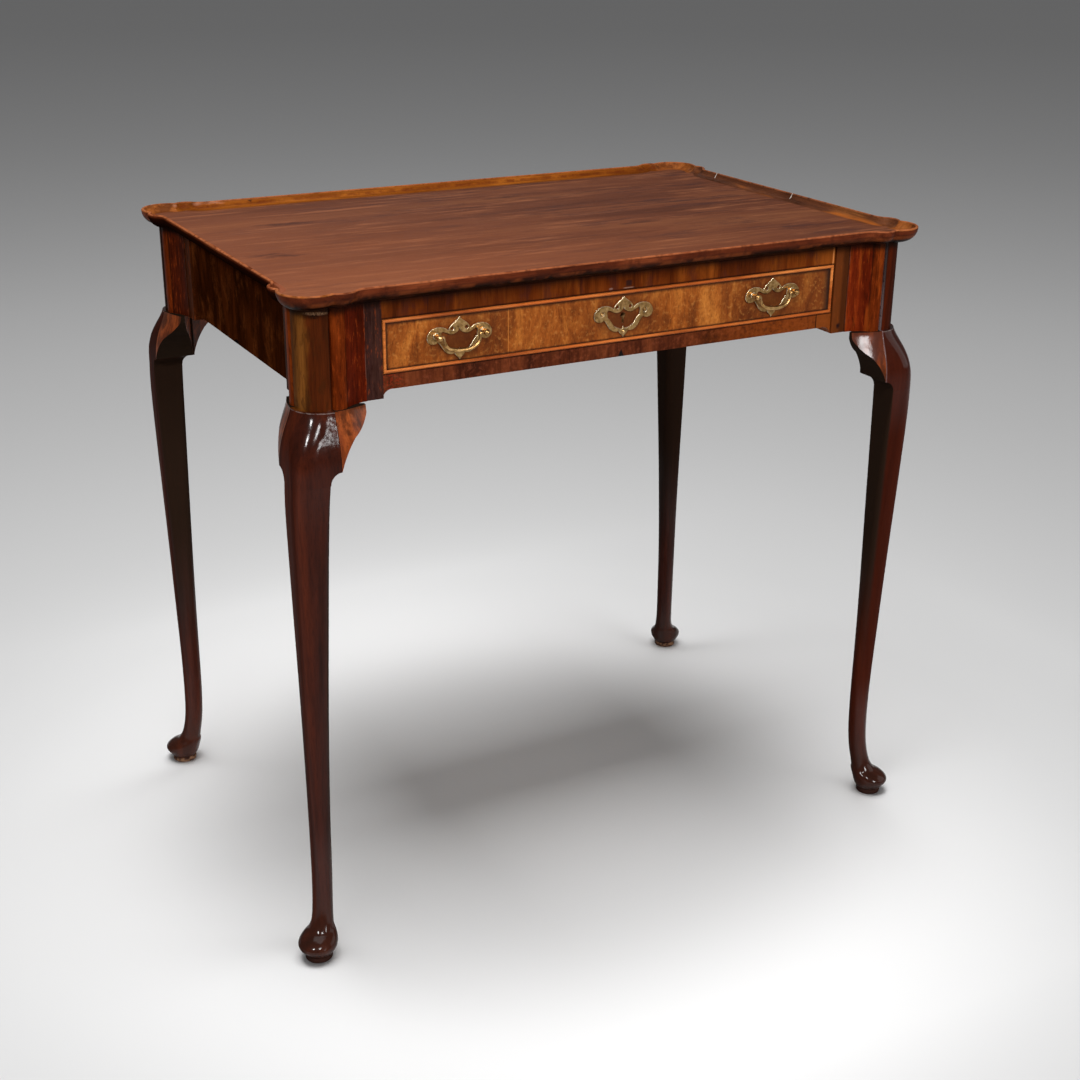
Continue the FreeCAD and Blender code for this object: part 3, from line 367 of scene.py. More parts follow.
def varnished(tree, shader, look, polished):
    # gloss and varnish, both less where the polish is gone
    low, high = look["rough"]
    broken = noise(tree, here(tree), 14, 4.0, 0.6)
    limits = {"Value": broken, "From Min": 0.3, "From Max": 0.7, "To Min": low, "To Max": high}
    dull = put(tree, "MapRange", limits).outputs[0]
    if polished:
        mask = polished(tree)
        dull = calculate(tree, "ADD", dull, allOf(tree, opposite(tree, mask), 0.6), clamp=True)
        tree.links.new(allOf(tree, mask, look["coat"]), shader.inputs["Coat Weight"])
    else:
        shader.inputs["Coat Weight"].default_value = look["coat"]
    tree.links.new(dull, shader.inputs["Roughness"])
    shader.inputs["Specular IOR Level"].default_value = look["specular"]
    shader.inputs["Coat Roughness"].default_value = look["coatRough"]


def wood(name, look, regions=None, marks=None, polished=None):
    # regions give (mask, tones) pairs, marks change the finished colour,
    # polished tells where the varnish is
    look = {**plainWood, **look}
    material, tree, shader = emptyMaterial(name)
    fine = alongGrain(tree, here(tree), look["along"], look["seed"] + 3, look["fineSquash"])
    bands = noise(tree, fine, look["bandScale"], 3.0, 0.6)
    hairs = noise(tree, fine, look["hairScale"], 2.0, 0.6)
    colour = figured(tree, look, regions)
    colour = mixed(tree, look["streak"], colour, ramp(tree, bands, look["streakTones"]), "MULTIPLY")
    colour = mixed(tree, look["pores"], colour, ramp(tree, hairs, look["poreTones"]), "MULTIPLY")
    if marks:
        colour = marks(tree, colour)
    tree.links.new(colour, shader.inputs["Base Color"])
    varnished(tree, shader, look, polished)

    grain = bump(tree, hairs, look["bump"], 0.0004)
    waves = noise(tree, here(tree), 55, 2.0, 0.5)
    tree.links.new(bump(tree, waves, look["uneven"], 0.002, grain), shader.inputs["Normal"])
    if look["coat"]:
        pits = noise(tree, here(tree), 900, 3.0, 0.6)
        ripple = bump(tree, waves, look["ripple"], 0.002)
        tree.links.new(bump(tree, pits, look["pits"], 0.0002, ripple), shader.inputs["Coat Normal"])
    return material


def dress(material, *names):
    for name in names:
        nodes[name].data.materials.clear()
        nodes[name].data.materials.append(material)


def named(*starts):
    return [name for name in nodes if name.startswith(starts)]


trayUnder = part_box("tray_board")[0].z


def belowTray(tree, colour, share=0.85):
    # grime and painted shadow close under the tray
    near = fade(tree, here(tree, "Z"), trayUnder - 0.0105, trayUnder - 0.0025)
    return laidOn(tree, colour, (16, 6, 3), near, share)


# tray board
trayLook = {
    "along": "X",
    "seed": 1.0,
    "tones": ((82, 44, 30), (104, 58, 38), (126, 76, 48)),
    "squash": 0.1,
    "figureScale": 16,
    "streak": 0.35,
    "pores": 0.3,
    "rough": (0.54, 0.6),
    "specular": 0.06,
    "uneven": 0.05,
    "smoke": (72, 41, 34),
    "pale": (152, 94, 62),
    "warm": (148, 82, 48),
    "speck": (200, 160, 130),
    "smudge": (60, 32, 27),
    "smudges": [             # x and y of each
        (-0.246, 0.112),
        (-0.223, 0.109),
        (-0.306, -0.03),
        (-0.291, -0.042),
        (0.05, 0.15),
        (0.12, -0.05),
    ],
    "smudgeHeight": 0.6925,
    "smudgeReach": (0.036, 0.008, 0.05),
}


def trayMarks(tree, colour):
    place = here(tree)
    smoke = noise(tree, alongGrain(tree, place, "X", 21.0, 0.17), 62, 6.0, 0.72)
    colour = laidOn(tree, colour, trayLook["smoke"], fade(tree, smoke, 0.5, 0.66), 0.85)
    pale = noise(tree, alongGrain(tree, place, "X", 33.0, 0.1), 90, 6.0, 0.72)
    colour = laidOn(tree, colour, trayLook["pale"], fade(tree, pale, 0.5, 0.68), 0.6)
    # warmer towards the front left corner
    corner = calculate(tree, "ADD", here(tree, "X"), here(tree, "Y"))
    colour = laidOn(tree, colour, trayLook["warm"], fade(tree, corner, 0.2, -0.45), 0.45)
    uneven = wobbled(tree, place, 60, 0.02)
    for x, y in trayLook["smudges"]:
        centre = (x, y, trayLook["smudgeHeight"])
        smudge = spot(tree, uneven, centre, trayLook["smudgeReach"], 0.9)
        colour = laidOn(tree, colour, trayLook["smudge"], smudge, 0.6)
    specks = noise(tree, place, 900, 1.0, 0.5)
    return laidOn(tree, colour, trayLook["speck"], fade(tree, specks, 0.74, 0.8), 0.5)


dress(wood("trayMahogany", trayLook, marks=trayMarks), "tray_board")

# rims
rimLook = {
    "along": "X",
    "seed": 2.0,
    "tones": ((62, 24, 12), (92, 40, 20), (124, 62, 34)),
    "squash": 0.3,
    "rough": (0.3, 0.45),
    "specular": 0.025,
    "changes": {"left": {"along": "Y", "specular": 0.0}, "right": {"along": "Y"}},
    "hollow": {
        "back": ((84, 36, 7), (122, 63, 14), (154, 88, 28)),
        "front": ((84, 38, 20), (120, 62, 36), (150, 84, 50)),
        "left": ((84, 38, 20), (120, 62, 36), (150, 84, 50)),
        "right": ((62, 34, 20), (92, 52, 32), (130, 78, 40)),
        "corner": ((96, 48, 18), (140, 78, 34), (180, 112, 56)),
    },
    "under": ((14, 5, 2), (24, 9, 4), (38, 16, 8)),
    "lip": (180, 106, 66),
    "lipFrom": 0.6984,
    "lipShare": {"back": 0.45, "front": 0.4, "left": 0.7, "right": 0.5, "corner": 0.5},
    "speck": (20, 10, 8),
    "redWood": (136, 66, 30),
    "dim": (54, 22, 12),
    "levelPatch": (142, 82, 58),
    "shadedOuterSide": (20, 6, 3),
    "golden": (164, 88, 30),
    "crack": (206, 196, 186),
    "cracks": (0.141, -0.017),
    "browned": (84, 32, 12),
    "dent": (40, 18, 12),
    "dentPlace": (-0.2335, 0.2321, 0.6972),
    "dentReach": (0.004, 0.005, 0.0018),
    "bareAndHighlit": (200, 140, 110),
    "bareAndHighlitPlaces": [          # centre and reach of the spots that have lost their varnish and carry a painted highlight
        ((-0.3197, 0.2372, 0.697), (0.005, 0.005, 0.0026)),
        ((-0.2961, 0.235, 0.698), (0.013, 0.006, 0.0026)),
        ((-0.2757, 0.232, 0.698), (0.015, 0.006, 0.0026)),
    ],
}


def rimEdgeMarks(tree, colour):
    # redder wood comes through along the lower edge
    place = here(tree)
    low = window(tree, here(tree, "Z"), 0.6885, 0.6925, 0.0012)
    through = fade(tree, noise(tree, place, 34, 4.0, 0.6), 0.42, 0.6)
    colour = laidOn(tree, colour, rimLook["redWood"], low, through, 0.4)
    dim = fade(tree, noise(tree, place, 60, 5.0, 0.65), 0.5, 0.64)
    return laidOn(tree, colour, rimLook["dim"], dim, 0.55)


def leftRimMarks(tree, colour):
    # a paler level patch near the front, and painted shade on the outer side below the lip
    z = here(tree, "Z")
    up = facing(tree, "Z")
    level = allOf(tree, fade(tree, z, 0.6932, 0.6924), fade(tree, up, 0.8, 0.95))
    front = fade(tree, here(tree, "Y"), -0.14, -0.16)
    colour = laidOn(tree, colour, rimLook["levelPatch"], level, front, 0.8)
    outer = allOf(tree, fade(tree, up, 0.25, 0.0), fade(tree, facing(tree, "X"), 0.3, 0.0))
    belowLip = fade(tree, z, rimLook["lipFrom"], rimLook["lipFrom"] - 0.003)
    return laidOn(tree, colour, rimLook["shadedOuterSide"], belowLip, outer, 0.93)


def rightRimMarks(tree, colour):
    # golden patches low down, and two pale cracks across the inside
    place = here(tree)
    z = here(tree, "Z")
    patches = noise(tree, alongGrain(tree, place, "Y", 5.0, 0.2), 30, 3.0)
    low = fade(tree, z, 0.6955, 0.6925)
    colour = laidOn(tree, colour, rimLook["golden"], fade(tree, patches, 0.52, 0.66), low, 0.85)
    inside = allOf(tree, fade(tree, here(tree, "X"), 0.3425, 0.344), fade(tree, z, 0.6935, 0.695))
    across = wobble(tree, here(tree, "Y"), place, 200, 0.003)
    for crack in rimLook["cracks"]:
        line = window(tree, across, crack - 0.0006, crack + 0.0006, 0.0003)
        colour = laidOn(tree, colour, rimLook["crack"], line, inside, 0.9)
    return colour


def backRimMarks(tree, colour):
    # browned half way up, with one dark dent
    place = here(tree)
    middle = window(tree, here(tree, "Z"), 0.6935, 0.6965, 0.001)
    broken = fade(tree, noise(tree, place, 90, 4.0, 0.7), 0.36, 0.6)
    colour = laidOn(tree, colour, rimLook["browned"], middle, broken, 0.6)
    uneven = wobbled(tree, place, 400, 0.003)
    dent = spot(tree, uneven, rimLook["dentPlace"], rimLook["dentReach"], 0.9)
    return laidOn(tree, colour, rimLook["dent"], dent)


def bareAndHighlitCornerMarks(tree, colour):
    uneven = wobbled(tree, here(tree), 90, 0.006)
    # worn spots, painted lighter also as highlights
    for centre, reach in rimLook["bareAndHighlitPlaces"]:
        bareAndHighlit = spot(tree, uneven, centre, reach, 0.9)
        colour = laidOn(tree, colour, rimLook["bareAndHighlit"], bareAndHighlit, 0.38)
    return colour


rimMarks = {
    "back": [backRimMarks, bareAndHighlitCornerMarks],
    "front": [rimEdgeMarks],
    "left": [leftRimMarks],
    "right": [rightRimMarks],
    "corner": [rimEdgeMarks, bareAndHighlitCornerMarks],
}


def rimWood(side):
    def regions(tree):
        up = facing(tree, "Z")
        hollow = (fade(tree, up, -0.1, 0.25), rimLook["hollow"][side])
        # painted shade on the faces turned down
        under = (fade(tree, up, -0.2, -0.7), rimLook["under"])
        return [hollow, under]

    def marks(tree, colour):
        # rubbed lip with a painted highlight, dark specks on every rim, then the side's own marks
        place = here(tree)
        rubbed = fade(tree, noise(tree, place, 90, 4.0, 0.7), 0.35, 0.55)
        lip = fade(tree, here(tree, "Z"), rimLook["lipFrom"], rimLook["lipFrom"] + 0.0009)
        colour = laidOn(tree, colour, rimLook["lip"], lip, rubbed, rimLook["lipShare"][side])
        specks = fade(tree, noise(tree, place, 420, 2.0, 0.6), 0.66, 0.74)
        colour = laidOn(tree, colour, rimLook["speck"], specks, 0.5)
        for mark in rimMarks[side]:
            colour = mark(tree, colour)
        return colour

    look = {**rimLook, **rimLook["changes"].get(side, {})}
    return wood("rim_" + side, look, regions, marks)


for side in ("back", "front", "left", "right"):
    dress(rimWood(side), "rim_" + side)
dress(rimWood("corner"), *named("rim_corner"))

# legs, with the posts above them
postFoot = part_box("frieze_left")[0].z
postCentre = (0.323, 0.2055)             # of each post, from the middle of the table
legLook = {
    "along": "Z",
    "seed": 4.0,
    "tones": ((28, 8, 3), (52, 18, 8), (80, 31, 13)),
    "squash": 0.08,
    "streak": 0.45,
    "rough": (0.2, 0.3),
    "specular": 0.02,
    "coat": 0.4,
    "coatRough": 0.11,
    "ripple": 0.12,
    "pits": 0.1,
    "bump": 0.04,
    "uneven": 0.06,
    "posts": {
        "front_left": ((34, 11, 2), (66, 25, 4), (98, 44, 10)),
        "front_right": ((44, 12, 2), (80, 24, 3), (114, 42, 8)),
        "back_left": ((22, 6, 1), (46, 15, 3), (76, 28, 7)),
        "back_right": ((22, 6, 1), (46, 15, 3), (76, 28, 7)),
    },
    "gold": ((58, 29, 6), (92, 52, 14), (132, 82, 32)),
    "shankDull": {           # how far the polish is gone between foot and knee
        "front_left": 0.5,
        "front_right": 0.85,
        "back_left": 0.4,
        "back_right": 0.4,
    },
    "raw": (32, 22, 15),
    "seam": (13, 6, 4),
    "dustAndHighlight": (176, 160, 154),
    "worn": (176, 134, 100),
    "chip": (30, 12, 5),
    "stain": (48, 22, 4),
    "greyDust": (124, 104, 104),
    "warm": (58, 15, 2),
    "foot": (46, 25, 17),
    "disc": (44, 29, 25),
    "scuff": (124, 92, 70),
}


def fromPost(tree):
    # how far out from the post's centre, along X and along Y
    out = []
    for axis, centre in zip("XY", postCentre):
        distance = calculate(tree, "ABSOLUTE", here(tree, axis))
        out.append(calculate(tree, "SUBTRACT", distance, centre))
    return out


def inwardSides(tree, corner):
    # unpolished sides towards the middle of the table, also painted in shade, lost in the rounding lower
    # down
    turned = []
    for axis, outward in (("X", "right" in corner), ("Y", "back" in corner)):
        away = calculate(tree, "MULTIPLY", facing(tree, axis), 1 if outward else -1)
        turned.append(fade(tree, away, -0.35, -0.8))
    z = here(tree, "Z")
    below = fade(tree, z, postFoot, postFoot - 0.002)
    return allOf(tree, anyOf(tree, *turned), below, fade(tree, z, 0.12, 0.34))


def footDisc(tree):
    # the thin disc under the pad foot
    return fade(tree, here(tree, "Z"), 0.0066, 0.0058)


def legPolish(corner):
    def polished(tree):
        z = here(tree, "Z")
        post = fade(tree, z, postFoot, postFoot + 0.001)
        sideways = fade(tree, calculate(tree, "ABSOLUTE", facing(tree, "X")), 0.7, 0.96)
        shank = allOf(tree, fade(tree, z, 0.1, 0.16), fade(tree, z, 0.52, 0.46))
        dulled = [
            inwardSides(tree, corner),
            footDisc(tree),
            allOf(tree, post, 0.85),
            allOf(tree, sideways, 0.85),
            allOf(tree, shank, legLook["shankDull"][corner]),
        ]
        if corner == "front_left":
            # bloomed polish beside the ear
            place = here(tree)
            bloom = spot(tree, place, (-0.325, -0.24, 0.568), (0.02, 0.03, 0.034), 0.6)
            crackle = fade(tree, noise(tree, place, 300, 5.0, 0.7), 0.7, 0.34)
            dulled.append(allOf(tree, bloom, crackle, 0.95))
        return opposite(tree, anyOf(tree, *dulled))
    return polished


def legRegions(corner):
    def regions(tree):
        z = here(tree, "Z")
        above = fade(tree, z, postFoot - 0.0002, postFoot + 0.0002)
        found = [(above, legLook["posts"][corner])]
        if corner == "front_left":
            # golden on the half that faces the table's end
            outX, outY = fromPost(tree)
            grain = alongGrain(tree, here(tree), "Z", 1.0, 0.3)
            lean = wobble(tree, calculate(tree, "SUBTRACT", outX, outY), grain, 130, 0.014)
            golden = allOf(tree, above, fade(tree, lean, -0.004, 0.004), 0.85)
            found.append((golden, legLook["gold"]))
        return found
    return regions


def postSeamsAndLedge(tree, colour):
    # dark in the two seams beside the post's lobe, and dust with a painted highlight on the ledge above
    # the knee
    z = here(tree, "Z")
    outX, outY = fromPost(tree)
    above = fade(tree, z, postFoot, postFoot + 0.001)
    for across, out in ((outX, outY), (outY, outX)):
        seam = window(tree, across, -0.0034, -0.0012, 0.0003)
        colour = laidOn(tree, colour, legLook["seam"], seam, fade(tree, out, 0.018, 0.020), above)
    ledge = window(tree, z, postFoot - 0.0012, postFoot + 0.0001, 0.0003)
    below = fade(tree, z, postFoot, postFoot - 0.002)
    broken = fade(tree, noise(tree, here(tree), 260, 4.0, 0.65), 0.36, 0.54)
    return laidOn(tree, colour, legLook["dustAndHighlight"], ledge, below, broken, 0.65)


def frontLeftPostMarks(tree, colour):
    # varnish worn through and chipped under the tray, dark stains down the post
    place = here(tree)
    flecks = noise(tree, place, 700, 3.0, 0.6)
    worn = spot(tree, place, (-0.333, -0.2285, 0.6797), (0.016, 0.014, 0.0022), 0.7)
    colour = laidOn(tree, colour, legLook["worn"], worn, fade(tree, flecks, 0.3, 0.6), 0.4)
    chips = spot(tree, place, (-0.334, -0.228, 0.677), (0.005, 0.006, 0.003), 0.6)
    colour = laidOn(tree, colour, legLook["chip"], chips, fade(tree, flecks, 0.56, 0.46))
    above = fade(tree, here(tree, "Z"), postFoot, postFoot + 0.001)
    stain = noise(tree, alongGrain(tree, place, "Z", 3.0, 0.3), 160, 4.0, 0.65)
    return laidOn(tree, colour, legLook["stain"], fade(tree, stain, 0.5, 0.64), above, 0.55)


def frontRightLegMarks(tree, colour):
    # grey dust beside the post's lobe, more of it lower down, and a redder leg
    z = here(tree, "Z")
    outX, outY = fromPost(tree)
    groove = window(tree, outX, -0.0032, -0.0016, 0.0004)
    broken = fade(tree, noise(tree, here(tree), 260, 4.0, 0.65), 0.2, 0.5)
    lower = calculate(tree, "ADD", fade(tree, z, 0.66, 0.6), 0.45)
    dustAndHighlight = allOf(tree, groove, fade(tree, outY, 0.016, 0.02), broken, 0.5, lower)
    colour = laidOn(tree, colour, legLook["greyDust"], dustAndHighlight)
    outward = opposite(tree, inwardSides(tree, "front_right"))
    below = fade(tree, z, postFoot, postFoot - 0.002)
    return laidOn(tree, colour, legLook["warm"], fade(tree, z, 0.03, 0.12), below, outward, 0.5)


def footMarks(tree, colour, corner):
    foot = fade(tree, here(tree, "Z"), 0.09, 0.03)
    colour = laidOn(tree, colour, legLook["foot"], foot, 0.5)
    colour = laidOn(tree, colour, legLook["disc"], footDisc(tree), 0.7)
    if "back" in corner:
        broken = fade(tree, noise(tree, here(tree), 260, 4.0, 0.65), 0.42, 0.56)
        colour = laidOn(tree, colour, legLook["scuff"], footDisc(tree), broken, 0.8)
    return colour


def legMarks(corner):
    def marks(tree, colour):
        # the inward sides painted as raw wood in shade
        colour = laidOn(tree, colour, legLook["raw"], inwardSides(tree, corner), 0.9)
        colour = belowTray(tree, postSeamsAndLedge(tree, colour))
        if corner == "front_left":
            colour = frontLeftPostMarks(tree, colour)
        if corner == "front_right":
            colour = frontRightLegMarks(tree, colour)
        return footMarks(tree, colour, corner)
    return marks


for corner in legLook["posts"]:
    ways = (legRegions(corner), legMarks(corner), legPolish(corner))
    dress(wood("leg_wood_" + corner, legLook, *ways), "leg_" + corner)

# cheeks: a bead beside the post, a hollow, and a flat stile
cheekLook = {
    "along": "Z",
    "seed": 5.0,
    "squash": 0.1,
    "rough": (0.3, 0.42),
    "specular": 0.02,
    "tones": ((44, 10, 2), (78, 20, 4), (112, 36, 8)),
    "stile": ((30, 16, 13), (50, 28, 24), (74, 46, 36)),
    "bead": ((60, 17, 2), (88, 31, 5), (126, 54, 14)),
    "beadTo": 0.0185,        # from the post's centre, towards the middle of the frieze
    "stileFrom": 0.042,
    "darkVein": (30, 8, 3),
    "redVein": (150, 62, 20),
    "rubbed": (96, 70, 60),
    "quirk": (22, 8, 4),
    "goldStile": (96, 46, 13),
    "shade": (38, 15, 5),
    "goldVein": (134, 58, 14),
    "brownVein": (70, 18, 4),
    "knot": (18, 12, 16),
    "knotPlace": (0.2723, -0.217, 0.595),
    "knotReach": (0.0035, 0.01, 0.0042),
}
sideCheekLook = dict(
    cheekLook,
    tones=((32, 8, 2), (58, 17, 4), (84, 28, 7)),
    stile=((34, 13, 4), (58, 25, 9), (82, 40, 16)),
)


def fromBead(tree, side):
    # how far from the post's centre, towards the middle of the frieze
    outX, outY = fromPost(tree)
    return calculate(tree, "MULTIPLY", outX if side == "front" else outY, -1.0)


def rightCheekMarks(tree, colour, along):
    # the cheeks on the right: golden stile with a shaded edge, livelier hollow, a knot
    look = cheekLook
    place = here(tree)
    stileFrom = look["stileFrom"]
    right = allOf(tree, fade(tree, here(tree, "X"), 0.1, 0.2), 0.75)
    stile = fade(tree, along, stileFrom, stileFrom + 0.001)
    colour = laidOn(tree, colour, look["goldStile"], right, stile)
    shaded = window(tree, wobble(tree, along, place, 90, 0.004), stileFrom, 0.0495, 0.002)
    colour = laidOn(tree, colour, look["shade"], right, shaded, 0.8)
    veins = noise(tree, alongGrain(tree, place, "Z", 14.0, 0.1), 120, 5.0, 0.65)
    hollow = allOf(tree, right, fade(tree, along, stileFrom, stileFrom - 0.001))
    colour = laidOn(tree, colour, look["goldVein"], hollow, fade(tree, veins, 0.5, 0.36), 0.7)
    colour = laidOn(tree, colour, look["brownVein"], hollow, fade(tree, veins, 0.52, 0.66), 0.6)
    knot = spot(tree, wobbled(tree, place, 300, 0.003), look["knotPlace"], look["knotReach"], 0.8)
    return laidOn(tree, colour, look["knot"], knot, 0.9)


def cheekWood(side):
    look = cheekLook if side == "front" else sideCheekLook
    beadTo, stileFrom = look["beadTo"], look["stileFrom"]

    def regions(tree):
        along = fromBead(tree, side)
        bead = (fade(tree, along, beadTo + 0.001, beadTo - 0.001), look["bead"])
        stile = (fade(tree, along, stileFrom - 0.0004, stileFrom + 0.0004), look["stile"])
        return [bead, stile]

    def marks(tree, colour):
        place = here(tree)
        along = fromBead(tree, side)
        veins = noise(tree, alongGrain(tree, place, "Z", 11.0, 0.22), 330, 5.0, 0.7)
        colour = laidOn(tree, colour, look["darkVein"], fade(tree, veins, 0.52, 0.68), 0.6)
        colour = laidOn(tree, colour, look["redVein"], fade(tree, veins, 0.46, 0.34), 0.35)
        broken = noise(tree, alongGrain(tree, place, "Z", 8.0, 0.3), 220, 4.0, 0.65)
        edge = window(tree, along, stileFrom - 0.0006, stileFrom + 0.0002, 0.0003)
        colour = laidOn(tree, colour, look["rubbed"], edge, fade(tree, broken, 0.42, 0.6), 0.45)
        quirk = window(tree, along, beadTo - 0.0004, beadTo + 0.0006, 0.0004)
        colour = laidOn(tree, colour, look["quirk"], quirk, 0.7)
        return belowTray(tree, rightCheekMarks(tree, colour, along))

    return wood("cheek_" + side, look, regions, marks)


def onSide(names, side):
    # of the cheeks or ears, those on the table's ends, or those on its front and back
    return [name for name in names if name.endswith("side") == (side == "side")]


for side in ("front", "side"):
    dress(cheekWood(side), *onSide(named("cheek_"), side))

# ears
earLook = {
    "along": "Z",
    "seed": 6.0,
    "tones": ((78, 30, 8), (118, 53, 20), (156, 78, 34)),
    "squash": 0.3,
    "rough": (0.3, 0.4),
    "specular": 0.02,
    "coat": 0.5,
    "coatRough": 0.13,
    "ripple": 0.25,
    "pits": 0.2,
    "stain": (54, 24, 9),
    "sheenTintedTop": (74, 36, 26),
    "raw": (32, 22, 15),
}


def earPolish(side):
    # the ear's face is polished, its underside is raw and painted in shade
    def polished(tree):
        out = calculate(tree, "ABSOLUTE", facing(tree, "Y" if side == "front" else "X"))
        return fade(tree, out, 0.5, 0.8)
    return polished


def earMarks(side):
    def marks(tree, colour):
        stain = noise(tree, alongGrain(tree, here(tree), "Z", 2.0, 0.35), 70, 5.0, 0.6)
        colour = laidOn(tree, colour, earLook["stain"], fade(tree, stain, 0.44, 0.58), 0.8)
        # painted sheen: the top of the ears on the right duller and darker
        right = fade(tree, here(tree, "X"), 0.1, 0.2)
        high = fade(tree, here(tree, "Z"), 0.545, 0.565)
        colour = laidOn(tree, colour, earLook["sheenTintedTop"], right, high, 0.6)
        # the raw underside also carries painted shade
        return laidOn(tree, colour, earLook["raw"], opposite(tree, earPolish(side)(tree)))
    return marks


for side in ("front", "side"):
    material = wood("ear_wood_" + side, earLook, marks=earMarks(side), polished=earPolish(side))
    dress(material, *onSide(named("ear_"), side))

# friezes of the sides and the back
friezeLook = {
    "along": "Z",
    "seed": 7.0,
    "tones": ((28, 9, 1), (50, 19, 4), (76, 33, 9)),
    "squash": 0.3,
    "streak": 0.4,
    "rough": (0.4, 0.55),
    "specular": 0.0,
    "worn": (106, 54, 23),
    "stain": (22, 7, 2),
    "loss": (14, 8, 6),
    "lossPlace": (-0.3315, 0.0072, 0.5945),
    "lossReach": (0.01, 0.009, 0.005),
}


def friezeMarks(tree, colour):
    place = here(tree)
    worn = noise(tree, alongGrain(tree, place, "Z", 17.0, 0.6), 34, 6.0, 0.72)
    colour = laidOn(tree, colour, friezeLook["worn"], fade(tree, worn, 0.5, 0.7), 0.6)
    stain = noise(tree, alongGrain(tree, place, "Z", 27.0, 0.55), 60, 5.0, 0.7)
    colour = laidOn(tree, colour, friezeLook["stain"], fade(tree, stain, 0.52, 0.66), 0.5)
    colour = belowTray(tree, colour, 0.7)
    loss = spot(tree, place, friezeLook["lossPlace"], friezeLook["lossReach"], 0.2)
    return laidOn(tree, colour, friezeLook["loss"], loss)


dress(wood("friezeVeneer", friezeLook, marks=friezeMarks), *named("frieze_"))

# front rails, veneered across their length
railLook = {
    "along": "Z",
    "squash": 0.25,
    "figureScale": 40,
    "specular": 0.025,
    "bandLength": 0.083,     # of each piece of veneer
}
topRailLook = {
    **railLook,
    "seed": 8.0,
    "tones": ((58, 20, 3), (92, 38, 7), (126, 62, 16)),
    "rough": (0.3, 0.42),
    "browner": (60, 24, 8),
    "joint": (40, 16, 6),
    "repairFrom": 0.236,
    "repair": (146, 76, 24),
    "paleLine": (210, 130, 70),
    "stain": (58, 26, 22),
    "patch": (24, 18, 20),
    "scratch": (150, 120, 104),
    "nick": (130, 100, 90),
    "nickPlace": (-0.015, -0.214, 0.6657),
    "shade": (26, 12, 8),
}
bottomRailLook = {
    **railLook,
    "seed": 9.0,
    "tones": ((40, 16, 8), (74, 32, 15), (104, 50, 25)),
    "rough": (0.34, 0.48),
    "browner": (58, 26, 14),
    "pale": (122, 62, 40),
    "dark": (44, 16, 12),
    "red": (130, 40, 18),
    "warm": (134, 62, 14),
    "repairFrom": 0.2443,
    "repair": (116, 58, 20),
    "joint": (30, 12, 6),
    "loss": (20, 15, 14),
    "lossTop": (-0.0014, 0.6032),        # x and z of its upper corner
    "lossSlope": 0.42,
    "shade": (30, 14, 10),
}


def banded(tree, x, seed):
    # each piece of veneer has its own tone, with a thin line between two
    count = calculate(tree, "DIVIDE", calculate(tree, "ADD", x, seed), railLook["bandLength"])
    number = calculate(tree, "FLOOR", count)
    tone = put(tree, "TexWhiteNoise", {"W": number}, noise_dimensions="1D").outputs["Value"]
    rest = calculate(tree, "FRACT", count)
    return tone, window(tree, rest, 0.0, 0.012, 0.004)


def topRailMarks(tree, colour):
    look = topRailLook
    place = here(tree)
    x = here(tree, "X")
    z = here(tree, "Z")
    tone, joint = banded(tree, x, 5.03)
    colour = laidOn(tree, colour, look["browner"], tone, 0.3)
    colour = laidOn(tree, colour, look["joint"], joint, 0.5)
    start = look["repairFrom"]
    colour = laidOn(tree, colour, look["repair"], fade(tree, x, start - 0.0005, start + 0.0005), 0.4)
    colour = laidOn(tree, colour, look["paleLine"], window(tree, x, 0.2605, 0.2622, 0.0003), 0.8)
    stain = noise(tree, alongGrain(tree, place, "Z", 3.0, 0.5), 52, 4.0, 0.65)
    colour = laidOn(tree, colour, look["stain"], fade(tree, stain, 0.5, 0.64), 0.45)
    # a small square patch, with a scratch and a nick under it
    across = window(tree, x, 0.0024, 0.0092, 0.001)
    colour = laidOn(tree, colour, look["patch"], across, window(tree, z, 0.6668, 0.6726, 0.001), 0.75)
    across = window(tree, x, 0.0, 0.011, 0.002)
    colour = laidOn(tree, colour, look["scratch"], across, window(tree, z, 0.6644, 0.6656, 0.0004), 0.5)
    nick = spot(tree, place, look["nickPlace"], (0.003, 0.01, 0.0014))
    colour = laidOn(tree, colour, look["nick"], nick, 0.6)
    colour = laidOn(tree, colour, look["shade"], fade(tree, z, 0.6652, 0.6634), 0.75)
    return belowTray(tree, colour)


